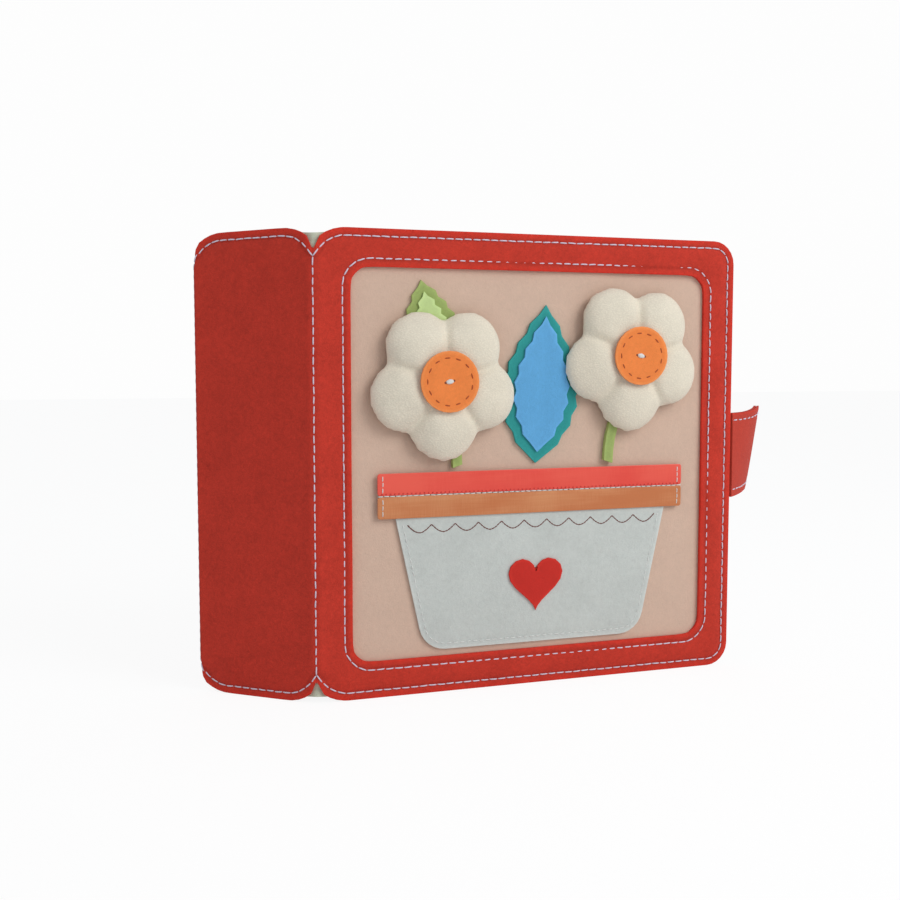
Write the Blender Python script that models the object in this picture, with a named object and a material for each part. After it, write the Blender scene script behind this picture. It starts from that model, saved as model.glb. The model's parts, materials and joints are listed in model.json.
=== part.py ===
# A quiet book of sewn felt, closed and standing on its lower edges. It has a spine, two stiffened
# covers, four padded pages, a closing strap and two padded blossoms that lift like flaps.
# Metres, +Z up. The front cover faces -Y, and its fore edge is at +X. The origin is in the middle
# of the spine's lower edge.

import math

import bmesh
import bpy
from mathutils import Matrix, Vector

# Covers and spine
PANEL_HEIGHT = 0.200
COVER_WIDTH = 0.200
SPINE_WIDTH = 0.058
SPINE_LEAN = math.radians(40)
CORNER_RADIUS = 0.0105
SHOULDER_WIDTH = 0.012
NOTCH_DEPTH = 0.0085
OUTER_FELT = 0.0015
LINING_FELT = 0.0012
LINING_TRIM = 0.0015
BOARD = 0.0015
BOARD_MARGIN = 0.008
BOARD_RADIUS = 0.005
LAYER_GAP = 0.0003
FOLD_GAP = 0.0003
CUTTER_OVERRUN = 0.002

# Window in the front cover
BORDER = 0.016
WINDOW_RADIUS = 0.0055
WINDOW_FELT = 0.0012
WINDOW_TUCK = 0.006

# Pages
PAGE_COUNT = 4
PAGE_FORE_INSET = 0.012
PAGE_TOP_INSET = 0.004
PAGE_FELT = 0.0010
PAGE_FILL_SHARE = 0.5
PAGE_MARGIN = 0.008
PAGE_RADIUS = 0.009
PAGE_SHAPE_FELT = 0.0008
PAGE_SHAPE_RADIUS = 0.034
PAGE_SHAPE_SHIFT = 0.040
PAGE_ROOT_GAP = 0.0003

# Closing strap
STRAP_WIDTH = 0.040
STRAP_FELT = 0.0012
STRAP_BEND_RADIUS = 0.076
STRAP_BAND_LENGTH = 0.058
STRAP_END_LENGTH = 0.046
STRAP_TIP_RADIUS = 0.012
STRAP_HEADING = math.radians(33)
STRAP_STAND_OFF = 0.00035
STRAP_FOLD_GAP = 0.0003
STRAP_CLOSING = math.radians(83)
PATCH_FELT = 0.0012
HOOK_LENGTH = 0.026
LOOP_LENGTH = 0.030
PATCH_WIDTH = 0.026
PATCH_RADIUS = 0.003
HOOK_TIP_MARGIN = 0.006

# Pieces sewn on the window felt. Their places are measured from the foot of the fold.
APPLIQUE_FELT = 0.0012
TOP_FELT = 0.0008
POT_TOP_WIDTH = 0.138
POT_BASE_WIDTH = 0.104
POT_FOOT_SHARE = 0.095
POT_HEIGHT_SHARE = 0.39
POT_RADIUS = 0.012
RIBBON_WIDTH = 0.0095
RIBBON_SPACING = 0.0005
RIBBON_OVERHANG = 0.004
RIBBON_RADIUS = 0.0012
HEART_WIDTH = 0.026
HEART_RISE_SHARE = 0.36
STEM_WIDTH = 0.0045
STEM_TUCK_SHARE = 0.5
LARGE_LEAF = (0.070, 0.037)
SMALL_LEAF = (0.044, 0.027)
LEAF_INSET = 0.005
LEAF_RISE = 0.0025
LEAF_TOOTH = 0.0014
LEAF_TEETH = 8
LEAF_SWELL = 0.85
LARGE_LEAF_HEADING = 86
SMALL_LEAF_HEADING = 102
STEM_LEAN_SHARES = (0.35, -0.35)
STEM_BOW_SHARES = (-0.1, 0.1)

# Padded blossoms
BLOSSOM_RADIUS = 0.034
PETAL_COUNT = 5
PUFF_HEIGHT = 0.0075
PUFF_BELOW = 0.0015
PETAL_RISE_SHARE = 0.86
TERRY = 0.0012
BACKING = 0.0010
DISC_RADIUS = 0.013
DISC_FELT = 0.0010
LEFT_BLOSSOM_SHARES = (0.28, 0.68)
RIGHT_BLOSSOM_SHARES = (0.73, 0.735)

ARC_STEPS = 6
ROUND_STEPS = 28

# Depths measured inwards from a panel's outer face
SPINE_DEPTH = OUTER_FELT + BOARD + LINING_FELT + 2 * LAYER_GAP
WINDOW_FACE = OUTER_FELT + LAYER_GAP + WINDOW_FELT
FRONT_DEPTH = WINDOW_FACE + BOARD + LINING_FELT + 2 * LAYER_GAP
BOOK_DEPTH = SPINE_WIDTH * math.sin(SPINE_LEAN)
BOOK_SHIFT = SPINE_WIDTH * math.cos(SPINE_LEAN)
WIDE_HALF = (math.pi - SPINE_LEAN) / 2
SHARP_HALF = SPINE_LEAN / 2

# Pages share the room between the covers. Their wadding takes a share of what the felts leave.
PAGE_WIDTH = COVER_WIDTH - PAGE_FORE_INSET
PAGE_HEIGHT = PANEL_HEIGHT - 2 * PAGE_TOP_INSET
PAGE_SPACE = BOOK_DEPTH - FRONT_DEPTH - SPINE_DEPTH - 2 * LAYER_GAP
PAGE_PITCH = PAGE_SPACE / PAGE_COUNT
PAGE_FELTS = 2 * PAGE_FELT + PAGE_SHAPE_FELT + 4 * LAYER_GAP
PAGE_WADDING = PAGE_FILL_SHARE * (PAGE_PITCH - PAGE_FELTS)
PAGE_DEPTH = 2 * PAGE_FELT + PAGE_WADDING + 2 * LAYER_GAP

# Places on the front cover
POT_CENTRE = COVER_WIDTH / 2
POT_FOOT = PANEL_HEIGHT * POT_FOOT_SHARE
POT_HEIGHT = PANEL_HEIGHT * POT_HEIGHT_SHARE
LEFT_BLOSSOM = (COVER_WIDTH * LEFT_BLOSSOM_SHARES[0], PANEL_HEIGHT * LEFT_BLOSSOM_SHARES[1])
RIGHT_BLOSSOM = (COVER_WIDTH * RIGHT_BLOSSOM_SHARES[0], PANEL_HEIGHT * RIGHT_BLOSSOM_SHARES[1])

# Places of the folds, seen from above, with the origin in the middle of the spine's outer felt
ALONG_SPINE = Vector((math.cos(SPINE_LEAN), -math.sin(SPINE_LEAN), 0))
INTO_BOOK = Vector((math.sin(SPINE_LEAN), math.cos(SPINE_LEAN), 0))
BACK_FOLD = -ALONG_SPINE * SPINE_WIDTH / 2 - INTO_BOOK * OUTER_FELT / 2
FRONT_FOLD = BACK_FOLD + ALONG_SPINE * SPINE_WIDTH

COLOURS = {
    "red_felt": ((0.50, 0.055, 0.035), 0.95),
    "peach_felt": ((0.60, 0.41, 0.30), 0.95),
    "pale_green_felt": ((0.55, 0.58, 0.45), 0.95),
    "white_felt": ((0.62, 0.64, 0.60), 0.95),
    "cream_terry": ((0.76, 0.66, 0.52), 1.0),
    "orange_felt": ((0.84, 0.25, 0.06), 0.95),
    "blue_felt": ((0.13, 0.38, 0.66), 0.95),
    "teal_felt": ((0.03, 0.25, 0.22), 0.95),
    "lime_felt": ((0.58, 0.72, 0.33), 0.95),
    "olive_felt": ((0.36, 0.44, 0.16), 0.95),
    "coral_satin": ((0.85, 0.09, 0.07), 0.35),
    "tan_satin": ((0.55, 0.17, 0.06), 0.35),
    "grey_board": ((0.33, 0.31, 0.28), 0.9),
    "white_wadding": ((0.80, 0.80, 0.78), 1.0),
    "red_hook_tape": ((0.38, 0.03, 0.02), 0.8),
    "red_loop_tape": ((0.45, 0.05, 0.04), 0.9),
}


def clear_scene():
    for thing in list(bpy.data.objects):
        bpy.data.objects.remove(thing)


def new_collection(name, helper=False):
    made = bpy.data.collections.new(name)
    bpy.context.scene.collection.children.link(made)
    made.hide_render = helper
    return made


def new_material(name):
    colour, roughness = COLOURS[name]
    made = bpy.data.materials.new(name)
    made.use_nodes = True
    shader = made.node_tree.nodes["Principled BSDF"]
    shader.inputs["Base Color"].default_value = (*colour, 1)
    shader.inputs["Roughness"].default_value = roughness
    shader.inputs["Metallic"].default_value = 0
    made.diffuse_color = (*colour, 1)
    return made


clear_scene()
BOOK = new_collection("quiet_book")
CUTTERS = new_collection("cutters", helper=True)
MATERIALS = {name: new_material(name) for name in COLOURS}


def new_empty(name, place, turn=0, parent=None):
    """A hinge line or a panel's corner, which its pieces hang from."""
    made = bpy.data.objects.new(name, None)
    BOOK.objects.link(made)
    made.empty_display_size = STRAP_WIDTH / 2
    made.location = place
    made.rotation_euler = (0, 0, turn)
    made.parent = parent
    return made


def new_piece(name, mesh, parent, place, material):
    made = bpy.data.objects.new(name, mesh)
    BOOK.objects.link(made)
    made.parent = parent
    made.matrix_local = place
    mesh.materials.clear()
    mesh.materials.append(MATERIALS[material])
    return made


def new_cutter(name, mesh, parent, place):
    made = bpy.data.objects.new(name, mesh)
    CUTTERS.objects.link(made)
    made.parent = parent
    made.matrix_local = place
    made.hide_render = True
    made.display_type = "WIRE"
    return made


def boolean(piece, cutter, operation="DIFFERENCE"):
    step = piece.modifiers.new(cutter.name, "BOOLEAN")
    step.operation = operation
    step.solver = "EXACT"
    step.object = cutter


# Outlines, as lists of (across, up) points that run anticlockwise


def arc(centre, radii, start, end, steps=ARC_STEPS):
    points = []
    for step in range(steps + 1):
        angle = math.radians(start + (end - start) * step / steps)
        points.append((centre[0] + radii[0] * math.cos(angle), centre[1] + radii[1] * math.sin(angle)))
    return points


SQUARE = (0, 0)


def rounded_box(left, right, bottom, top, left_radii, right_radii):
    """A rectangle whose left and right corners have their own radii across and up."""
    (left_x, left_y), (right_x, right_y) = left_radii, right_radii

    def corner(centre, radii, start):
        return [centre] if radii == SQUARE else arc(centre, radii, start, start + 90)

    return (
        corner((left + left_x, bottom + left_y), left_radii, 180)
        + corner((right - right_x, bottom + right_y), right_radii, 270)
        + corner((right - right_x, top - right_y), right_radii, 0)
        + corner((left + left_x, top - left_y), left_radii, 90)
    )


def rounded_polygon(corners, radius):
    """Straight sides with each corner rounded by an arc that touches both of its sides."""
    points = []
    count = len(corners)
    for i in range(count):
        here = Vector(corners[i])
        before = (Vector(corners[i - 1]) - here).normalized()
        after = (Vector(corners[(i + 1) % count]) - here).normalized()
        half = before.angle(after) / 2
        middle = (before + after).normalized()
        centre = here + middle * radius / math.sin(half)
        inward = before.x * after.y - before.y * after.x < 0
        sweep = math.pi - 2 * half
        first = math.atan2(-middle.y, -middle.x)
        for step in range(ARC_STEPS + 1):
            turn = sweep * (step / ARC_STEPS - 1 / 2)
            angle = first + (turn if inward else -turn)
            points.append((centre.x + radius * math.cos(angle), centre.y + radius * math.sin(angle)))
    return points


def ellipse(centre, radii, steps=ROUND_STEPS):
    return arc(centre, radii, 0, 360 * (steps - 1) / steps, steps - 1)


def star(centre, outer, inner, tips):
    points = []
    for step in range(2 * tips):
        angle = math.pi / 2 + math.pi * step / tips
        reach = inner if step % 2 else outer
        points.append((centre[0] + reach * math.cos(angle), centre[1] + reach * math.sin(angle)))
    return points


def polygon(centre, radius, sides, first=90):
    points = []
    for step in range(sides):
        angle = math.radians(first + 360 * step / sides)
        points.append((centre[0] + radius * math.cos(angle), centre[1] + radius * math.sin(angle)))
    return points


# The heart's curve is 16 units wide on each side of its middle.
HEART_HALF_UNITS = 16


def heart(centre, width):
    points = []
    scale = width / 2 / HEART_HALF_UNITS
    for step in range(ROUND_STEPS):
        t = 2 * math.pi * step / ROUND_STEPS
        across = HEART_HALF_UNITS * math.sin(t) ** 3
        up = 13 * math.cos(t) - 5 * math.cos(2 * t) - 2 * math.cos(3 * t) - math.cos(4 * t)
        points.append((centre[0] - scale * across, centre[1] + scale * up))
    return points


def crescent(centre, radius):
    """A disc with a smaller disc cut out of its right side."""
    bite_share = 0.8
    shift_share = 0.42
    reach = (1 + shift_share**2 - bite_share**2) / (2 * shift_share)
    outer_angle = math.degrees(math.acos(reach))
    inner_angle = math.degrees(math.acos((reach - shift_share) / bite_share))
    outside = arc(centre, (radius, radius), outer_angle, 360 - outer_angle, ROUND_STEPS)
    bite_centre = (centre[0] + shift_share * radius, centre[1])
    bite = bite_share * radius
    inside = arc(bite_centre, (bite, bite), 360 - inner_angle, inner_angle, ROUND_STEPS)
    return outside + inside[1:-1]


def leaf(base, heading, length, width):
    """A leaf with saw teeth on both sides. A swell under 1 makes it widest nearer its base."""
    right = []
    for step in range(1, 2 * LEAF_TEETH):
        share = step / (2 * LEAF_TEETH)
        across = (width / 2 - LEAF_TOOTH) * math.sin(math.pi * share**LEAF_SWELL)
        if step % 2 == 0:
            across += LEAF_TOOTH
        right.append((share * length, -across))
    left = [(along, -across) for along, across in reversed(right)]
    turn = Matrix.Rotation(math.radians(heading), 2)
    outline = [(0, 0)] + right + [(length, 0)] + left
    return [tuple(Vector(base) + turn @ Vector(point)) for point in outline]


def curved_strip(start, end, bow, width):
    """A narrow strip that bows to one side between its two ends."""
    start, end = Vector(start), Vector(end)
    along = (end - start).normalized()
    aside = Vector((-along.y, along.x))
    edges = ([], [])
    for step in range(ARC_STEPS + 1):
        share = step / ARC_STEPS
        middle = start.lerp(end, share) + aside * bow * math.sin(math.pi * share)
        edges[0].append(tuple(middle - aside * width / 2))
        edges[1].append(tuple(middle + aside * width / 2))
    return edges[0] + edges[1][::-1]


# Meshes


def flat_mesh(name, outline, thickness):
    """The outline as a plate in the XY plane, half its thickness on each side."""
    curve = bpy.data.curves.new(name, "CURVE")
    curve.dimensions = "2D"
    curve.fill_mode = "BOTH"
    curve.extrude = thickness / 2
    spline = curve.splines.new("POLY")
    spline.points.add(len(outline) - 1)
    for point, (across, up) in zip(spline.points, outline):
        point.co = (across, up, 0, 1)
    spline.use_cyclic_u = True
    return settled_mesh(name, bpy.data.objects.new(name, curve))


WELD = 1e-6


def settled_mesh(name, holder):
    """The mesh of an object as its modifiers leave it, with its doubled points welded."""
    bpy.context.scene.collection.objects.link(holder)
    graph = bpy.context.evaluated_depsgraph_get()
    mesh = bpy.data.meshes.new_from_object(holder.evaluated_get(graph))
    mesh.name = name
    bpy.data.objects.remove(holder)
    work = bmesh.new()
    work.from_mesh(mesh)
    bmesh.ops.remove_doubles(work, verts=work.verts, dist=WELD)
    bmesh.ops.recalc_face_normals(work, faces=work.faces)
    work.to_mesh(mesh)
    work.free()
    return mesh


def box_mesh(name, sides):
    mesh = bpy.data.meshes.new(name)
    work = bmesh.new()
    bmesh.ops.create_cube(work, size=1)
    bmesh.ops.scale(work, vec=sides, verts=work.verts)
    work.to_mesh(mesh)
    work.free()
    return mesh


def ball_mesh(name, radii):
    mesh = bpy.data.meshes.new(name)
    work = bmesh.new()
    bmesh.ops.create_uvsphere(work, u_segments=14, v_segments=8, radius=1)
    bmesh.ops.rotate(work, cent=(0, 0, 0), matrix=Matrix.Rotation(math.pi / 2, 3, "X"), verts=work.verts)
    bmesh.ops.scale(work, vec=radii, verts=work.verts)
    work.to_mesh(mesh)
    work.free()
    return mesh


def upright(near, far):
    """Stands a plate up, with its thickness between two depths of the panel."""
    return Matrix.Translation((0, (near + far) / 2, 0)) @ Matrix.Rotation(math.pi / 2, 4, "X")


def plate(name, outline, near, far, parent, material):
    return new_piece(name, flat_mesh(name, outline, far - near), parent, upright(near, far), material)


def plate_cutter(name, outline, near, far, parent):
    return new_cutter(name, flat_mesh(name, outline, far - near), parent, upright(near, far))


# Covers and spine. A panel is an outer felt and a lining that meet in the seam round their edge,
# with the board in the pocket between them.


def panel_outline(left, right, left_fold, right_fold, fold_corner, trim=0):
    """A free corner is round, and the corners at a fold have radii of their own."""
    free = (CORNER_RADIUS - trim, CORNER_RADIUS - trim)
    return rounded_box(
        left + (0 if left_fold else trim),
        right - (0 if right_fold else trim),
        trim,
        PANEL_HEIGHT - trim,
        fold_corner if left_fold else free,
        fold_corner if right_fold else free,
    )


def board_margin(half_angle, depth):
    """How far the board stays from an edge, and further at a fold whose panels meet sharply."""
    if half_angle is None:
        return BOARD_MARGIN
    return max(BOARD_MARGIN, depth / math.tan(half_angle) + LAYER_GAP)


def board_outline(left, right, left_half, right_half, depth, slack=0):
    radii = (BOARD_RADIUS + slack, BOARD_RADIUS + slack)
    return rounded_box(
        left + board_margin(left_half, depth) - slack,
        right - board_margin(right_half, depth) + slack,
        BOARD_MARGIN - slack,
        PANEL_HEIGHT - BOARD_MARGIN + slack,
        radii,
        radii,
    )


def mitre(pieces, name, parent, fold, side, half_angle):
    """Cuts pieces back from the plane that halves a fold. side is 1 where the panel lies to the right."""
    reach = 2 * (FRONT_DEPTH / math.sin(half_angle) + CUTTER_OVERRUN)
    sides = (reach, 2 * reach, PANEL_HEIGHT + 2 * CUTTER_OVERRUN)
    facing = Vector((side * math.sin(half_angle), -math.cos(half_angle), 0))
    centre = Vector((fold, 0, PANEL_HEIGHT / 2)) + facing * (FOLD_GAP - reach) / 2
    turn = Matrix.Rotation(math.atan2(facing.y, facing.x), 4, "Z")
    cutter = new_cutter(name, box_mesh(name, sides), parent, Matrix.Translation(centre) @ turn)
    for piece in pieces:
        boolean(piece, cutter)


def make_panel(name, parent, left, right, left_half, right_half, face):
    """face is the depth of the outer felt over the board, and a half angle of None is a free edge.
    The outer felt falls away into a notch at each fold. The lining runs straight on and shows there."""
    board_near = face + LAYER_GAP
    board_far = board_near + BOARD
    lining_near = board_far + LAYER_GAP
    lining_far = lining_near + LINING_FELT
    seam = (board_near + board_far) / 2
    folds = (left_half is not None, right_half is not None)

    outline = panel_outline(left, right, *folds, (SHOULDER_WIDTH, NOTCH_DEPTH))
    outer = plate(f"{name}_outer_felt", outline, 0, seam - LAYER_GAP / 2, parent, "red_felt")
    board = plate(
        f"{name}_board",
        board_outline(left, right, left_half, right_half, lining_far),
        board_near,
        board_far,
        parent,
        "grey_board",
    )
    lining = plate(
        f"{name}_lining",
        panel_outline(left, right, *folds, SQUARE, LINING_TRIM),
        seam + LAYER_GAP / 2,
        lining_far,
        parent,
        "pale_green_felt",
    )
    pocket = board_outline(left, right, left_half, right_half, lining_far, LAYER_GAP)
    boolean(outer, plate_cutter(f"{name}_pocket_outside", pocket, face, board_far, parent))
    boolean(lining, plate_cutter(f"{name}_pocket_inside", pocket, board_near, lining_near, parent))
    if left_half is not None:
        mitre([outer, board, lining], f"{name}_left_mitre", parent, left, 1, left_half)
    if right_half is not None:
        mitre([outer, board, lining], f"{name}_right_mitre", parent, right, -1, right_half)
    return outer


def make_window(front_outer, parent):
    """The opening in the front felt, the rebate behind it, and the peach felt that is sewn there."""
    radii = (WINDOW_RADIUS, WINDOW_RADIUS)
    window = rounded_box(BORDER, COVER_WIDTH - BORDER, BORDER, PANEL_HEIGHT - BORDER, radii, radii)

    def tucked(slack):
        edge = BORDER - WINDOW_TUCK - slack
        return rounded_box(edge, COVER_WIDTH - edge, edge, PANEL_HEIGHT - edge, radii, radii)

    cut = plate_cutter("window_cutter", window, -CUTTER_OVERRUN, FRONT_DEPTH, parent)
    rebate = plate_cutter("window_rebate", tucked(LAYER_GAP), OUTER_FELT, FRONT_DEPTH, parent)
    boolean(front_outer, cut)
    boolean(front_outer, rebate)
    plate("window_felt", tucked(0), OUTER_FELT + LAYER_GAP, WINDOW_FACE, parent, "peach_felt")


# Pieces sewn flat on the window felt, in two levels


def lower_level():
    far = OUTER_FELT
    return far - APPLIQUE_FELT, far


def upper_level():
    far = OUTER_FELT - APPLIQUE_FELT - LAYER_GAP
    return far - TOP_FELT, far


def make_pot(parent):
    top = POT_FOOT + POT_HEIGHT
    corners = [
        (POT_CENTRE - POT_BASE_WIDTH / 2, POT_FOOT),
        (POT_CENTRE + POT_BASE_WIDTH / 2, POT_FOOT),
        (POT_CENTRE + POT_TOP_WIDTH / 2, top),
        (POT_CENTRE - POT_TOP_WIDTH / 2, top),
    ]
    plate("pot_felt", rounded_polygon(corners, POT_RADIUS), *lower_level(), parent, "white_felt")
    heart_centre = (POT_CENTRE, POT_FOOT + POT_HEIGHT * HEART_RISE_SHARE)
    plate("pot_heart", heart(heart_centre, HEART_WIDTH), *upper_level(), parent, "red_felt")

    half = POT_TOP_WIDTH / 2 + RIBBON_OVERHANG
    radii = (RIBBON_RADIUS, RIBBON_RADIUS)
    ribbon_top = top
    for name, material in (("ribbon_coral", "coral_satin"), ("ribbon_tan", "tan_satin")):
        bottom = ribbon_top - RIBBON_WIDTH
        band = rounded_box(POT_CENTRE - half, POT_CENTRE + half, bottom, ribbon_top, radii, radii)
        plate(name, band, *upper_level(), parent, material)
        ribbon_top = bottom - RIBBON_SPACING


def stem_ends(blossom, lean_share):
    """A stem's foot on the pot's rim and its head behind its blossom. It leans by a share of its rise."""
    foot_up = POT_FOOT + POT_HEIGHT + STEM_WIDTH / 2
    head_up = blossom[1] - BLOSSOM_RADIUS * (1 - STEM_TUCK_SHARE)
    foot = (blossom[0] + lean_share * (head_up - foot_up), foot_up)
    return foot, (blossom[0], head_up)


def make_stems(parent):
    """Rolled felt, as thick as both levels, so that the sewn end of each blossom rests on its stem."""
    blossoms = {"left": LEFT_BLOSSOM, "right": RIGHT_BLOSSOM}
    for side, lean_share, bow_share in zip(blossoms, STEM_LEAN_SHARES, STEM_BOW_SHARES):
        foot, head = stem_ends(blossoms[side], lean_share)
        strip = curved_strip(foot, head, bow_share * (head[1] - foot[1]), STEM_WIDTH)
        plate(f"stem_{side}", strip, upper_level()[0], lower_level()[1], parent, "olive_felt")


def make_leaves(parent):
    """The large leaf stands on the pot's rim, and the small one is tucked behind the left blossom."""
    rim = (POT_CENTRE, POT_FOOT + POT_HEIGHT + LEAF_RISE)
    places = (
        ("teal", "blue", LARGE_LEAF, rim, LARGE_LEAF_HEADING),
        ("olive", "lime", SMALL_LEAF, LEFT_BLOSSOM, SMALL_LEAF_HEADING),
    )
    for under, over, (length, width), base, heading in places:
        whole = leaf(base, heading, length, width)
        plate(f"leaf_{under}", whole, *lower_level(), parent, f"{under}_felt")
        forward = Matrix.Rotation(math.radians(heading), 2) @ Vector((LEAF_INSET, 0))
        inner = leaf(Vector(base) + forward, heading, length - 2 * LEAF_INSET, width - 2 * LEAF_INSET)
        plate(f"leaf_{over}", inner, *upper_level(), parent, f"{over}_felt")


# Padded blossoms: a flat backing, a wadding and a terry skin that domes over it


def puff_mesh(name, shrink):
    """Five round petals about a round middle, each a flattened ball, joined into one."""
    petal = BLOSSOM_RADIUS / 2 - shrink
    rise = PUFF_HEIGHT - shrink
    holder = bpy.data.objects.new(name, ball_mesh(name, (petal, rise, petal)))
    petals = []
    for index in range(PETAL_COUNT):
        angle = 2 * math.pi * index / PETAL_COUNT - math.pi / 2
        centre = Vector((math.cos(angle), 0, math.sin(angle))) * BLOSSOM_RADIUS / 2
        side = ball_mesh(f"{name}_petal_{index + 1}", (petal, rise * PETAL_RISE_SHARE, petal))
        petals.append(new_cutter(side.name, side, None, Matrix.Translation(centre)))
        boolean(holder, petals[-1], "UNION")
    mesh = settled_mesh(name, holder)
    for made in petals:
        bpy.data.objects.remove(made)
    return mesh


def make_blossom(side, place, parent, meshes):
    """The hinge line runs along X through the lower end of the blossom, in its back plane."""
    hinge_place = (place[0], upper_level()[0] - LAYER_GAP, place[1] - BLOSSOM_RADIUS)
    hinge = new_empty(f"blossom_{side}_hinge", hinge_place, parent=parent)
    middle = Matrix.Translation((0, -PUFF_BELOW, BLOSSOM_RADIUS))
    span = 3 * BLOSSOM_RADIUS

    def behind(name, depth):
        """A block that removes all that lies behind a depth in front of the back plane."""
        block = box_mesh(name, (span, span, span))
        return new_cutter(name, block, hinge, Matrix.Translation((0, span / 2 - depth, BLOSSOM_RADIUS)))

    back_plane = behind(f"blossom_{side}_back_plane", 0)
    filling_plane = behind(f"blossom_{side}_filling_plane", BACKING + LAYER_GAP)
    name = f"blossom_{side}_front_block"
    front_place = Matrix.Translation((0, -span / 2 - BACKING, BLOSSOM_RADIUS))
    front_block = new_cutter(name, box_mesh(name, (span, span, span)), hinge, front_place)

    backing = new_piece(f"blossom_{side}_backing", meshes["skin"].copy(), hinge, middle, "cream_terry")
    boolean(backing, back_plane)
    boolean(backing, front_block)
    skin = new_piece(f"blossom_{side}_terry", meshes["skin"].copy(), hinge, middle, "cream_terry")
    boolean(skin, new_cutter(f"blossom_{side}_hollow", meshes["hollow"].copy(), hinge, middle))
    boolean(skin, filling_plane)
    filling = new_piece(f"blossom_{side}_wadding", meshes["filling"].copy(), hinge, middle, "white_wadding")
    boolean(filling, filling_plane)

    front = -(PUFF_BELOW + PUFF_HEIGHT + LAYER_GAP)
    disc = ellipse((0, BLOSSOM_RADIUS), (DISC_RADIUS, DISC_RADIUS))
    plate(f"blossom_{side}_disc", disc, front - DISC_FELT, front, hinge, "orange_felt")


# Closing strap. It leaves the seam of the front cover's fore edge and curves round behind the book.

STRAP_HALF = STRAP_FELT + LAYER_GAP / 2
STRAP_ROOT = Vector((COVER_WIDTH + STRAP_STAND_OFF + STRAP_HALF, WINDOW_FACE + LAYER_GAP + BOARD / 2, 0))
STRAP_TURN = STRAP_BAND_LENGTH / STRAP_BEND_RADIUS


def strap_point(along, aside, bend_radius=STRAP_BEND_RADIUS):
    """A point of the strap, seen from above: along it from its root, and aside to the left of it."""
    if bend_radius is None:
        return (along, aside)
    turn = along / bend_radius
    reach = bend_radius - aside
    return (reach * math.sin(turn), bend_radius - reach * math.cos(turn))


def strap_layer(name, near, far, length, bend_radius, parent):
    """One felt of the strap. Its root is its share of a half round on the line that it bends about."""
    steps = 1 if bend_radius is None else 2 * ARC_STEPS
    shares = [step / steps for step in range(steps + 1)]
    inner = [strap_point(length * share, near, bend_radius) for share in shares]
    outer = [strap_point(length * share, far, bend_radius) for share in shares]
    root = []
    for step in range(1, ARC_STEPS):
        aside = far + (near - far) * step / ARC_STEPS
        root.append(strap_point(-math.sqrt(STRAP_HALF**2 - aside**2), aside, bend_radius))
    mesh = flat_mesh(name, inner + outer[::-1] + root, STRAP_WIDTH)
    return new_piece(name, mesh, parent, Matrix.Translation((0, 0, PANEL_HEIGHT / 2)), "red_felt")


def strap_end_outline():
    bottom = (PANEL_HEIGHT - STRAP_WIDTH) / 2
    tip = (STRAP_TIP_RADIUS, STRAP_TIP_RADIUS)
    return rounded_box(-STRAP_WIDTH, STRAP_END_LENGTH, bottom, bottom + STRAP_WIDTH, SQUARE, tip)


def patch_outline(left, right):
    bottom = (PANEL_HEIGHT - PATCH_WIDTH) / 2
    radii = (PATCH_RADIUS, PATCH_RADIUS)
    return rounded_box(left, right, bottom, bottom + PATCH_WIDTH, radii, radii)


def make_strap(front_hinge):
    root = new_empty("strap_band_hinge", STRAP_ROOT, STRAP_HEADING, front_hinge)
    end_place = (*strap_point(STRAP_BAND_LENGTH, 0), 0)
    end = new_empty("strap_end_hinge", end_place, STRAP_TURN, root)
    band_length = STRAP_BAND_LENGTH - STRAP_HALF - STRAP_FOLD_GAP
    tip = plate_cutter("strap_tip", strap_end_outline(), -STRAP_WIDTH, STRAP_WIDTH, end)
    for side, near, far in (
        ("outer", -STRAP_HALF, -LAYER_GAP / 2),
        ("lining", LAYER_GAP / 2, STRAP_HALF),
    ):
        strap_layer(f"strap_band_{side}_felt", near, far, band_length, STRAP_BEND_RADIUS, root)
        layer = strap_layer(f"strap_end_{side}_felt", near, far, STRAP_END_LENGTH, None, end)
        boolean(layer, tip, "INTERSECT")
    hook_right = STRAP_END_LENGTH - HOOK_TIP_MARGIN
    hook = patch_outline(hook_right - HOOK_LENGTH, hook_right)
    hook_near = STRAP_HALF + LAYER_GAP
    plate("strap_hook_patch", hook, hook_near, hook_near + PATCH_FELT, end, "red_hook_tape")


def closed_hook_middle():
    """How far the hook patch's middle lies from the back fold when the strap is fastened."""
    heading = STRAP_HEADING + STRAP_CLOSING
    end = Matrix.Rotation(heading, 2) @ Vector(strap_point(STRAP_BAND_LENGTH, 0))
    hook = STRAP_END_LENGTH - HOOK_TIP_MARGIN - HOOK_LENGTH / 2
    return STRAP_ROOT.x + end.x + BOOK_SHIFT - hook


def make_loop_patch(back_hinge):
    middle = closed_hook_middle()
    loop = patch_outline(-middle - LOOP_LENGTH / 2, -middle + LOOP_LENGTH / 2)
    plate("back_loop_patch", loop, -LAYER_GAP - PATCH_FELT, -LAYER_GAP, back_hinge, "red_loop_tape")


# Pages. Each hangs on a hinge line a little above the spine's lining.


def page_hinge_place(index):
    """Where the middle of a page meets the line that keeps its root clear of the lining."""
    depth = FRONT_DEPTH + LAYER_GAP + PAGE_PITCH * (index + 1 / 2)
    off_spine = SPINE_DEPTH + PAGE_DEPTH / 2 + PAGE_ROOT_GAP
    along = (depth - off_spine * math.cos(SPINE_LEAN)) / math.sin(SPINE_LEAN)
    return FRONT_FOLD - ALONG_SPINE * along + INTO_BOOK * off_spine


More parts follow.
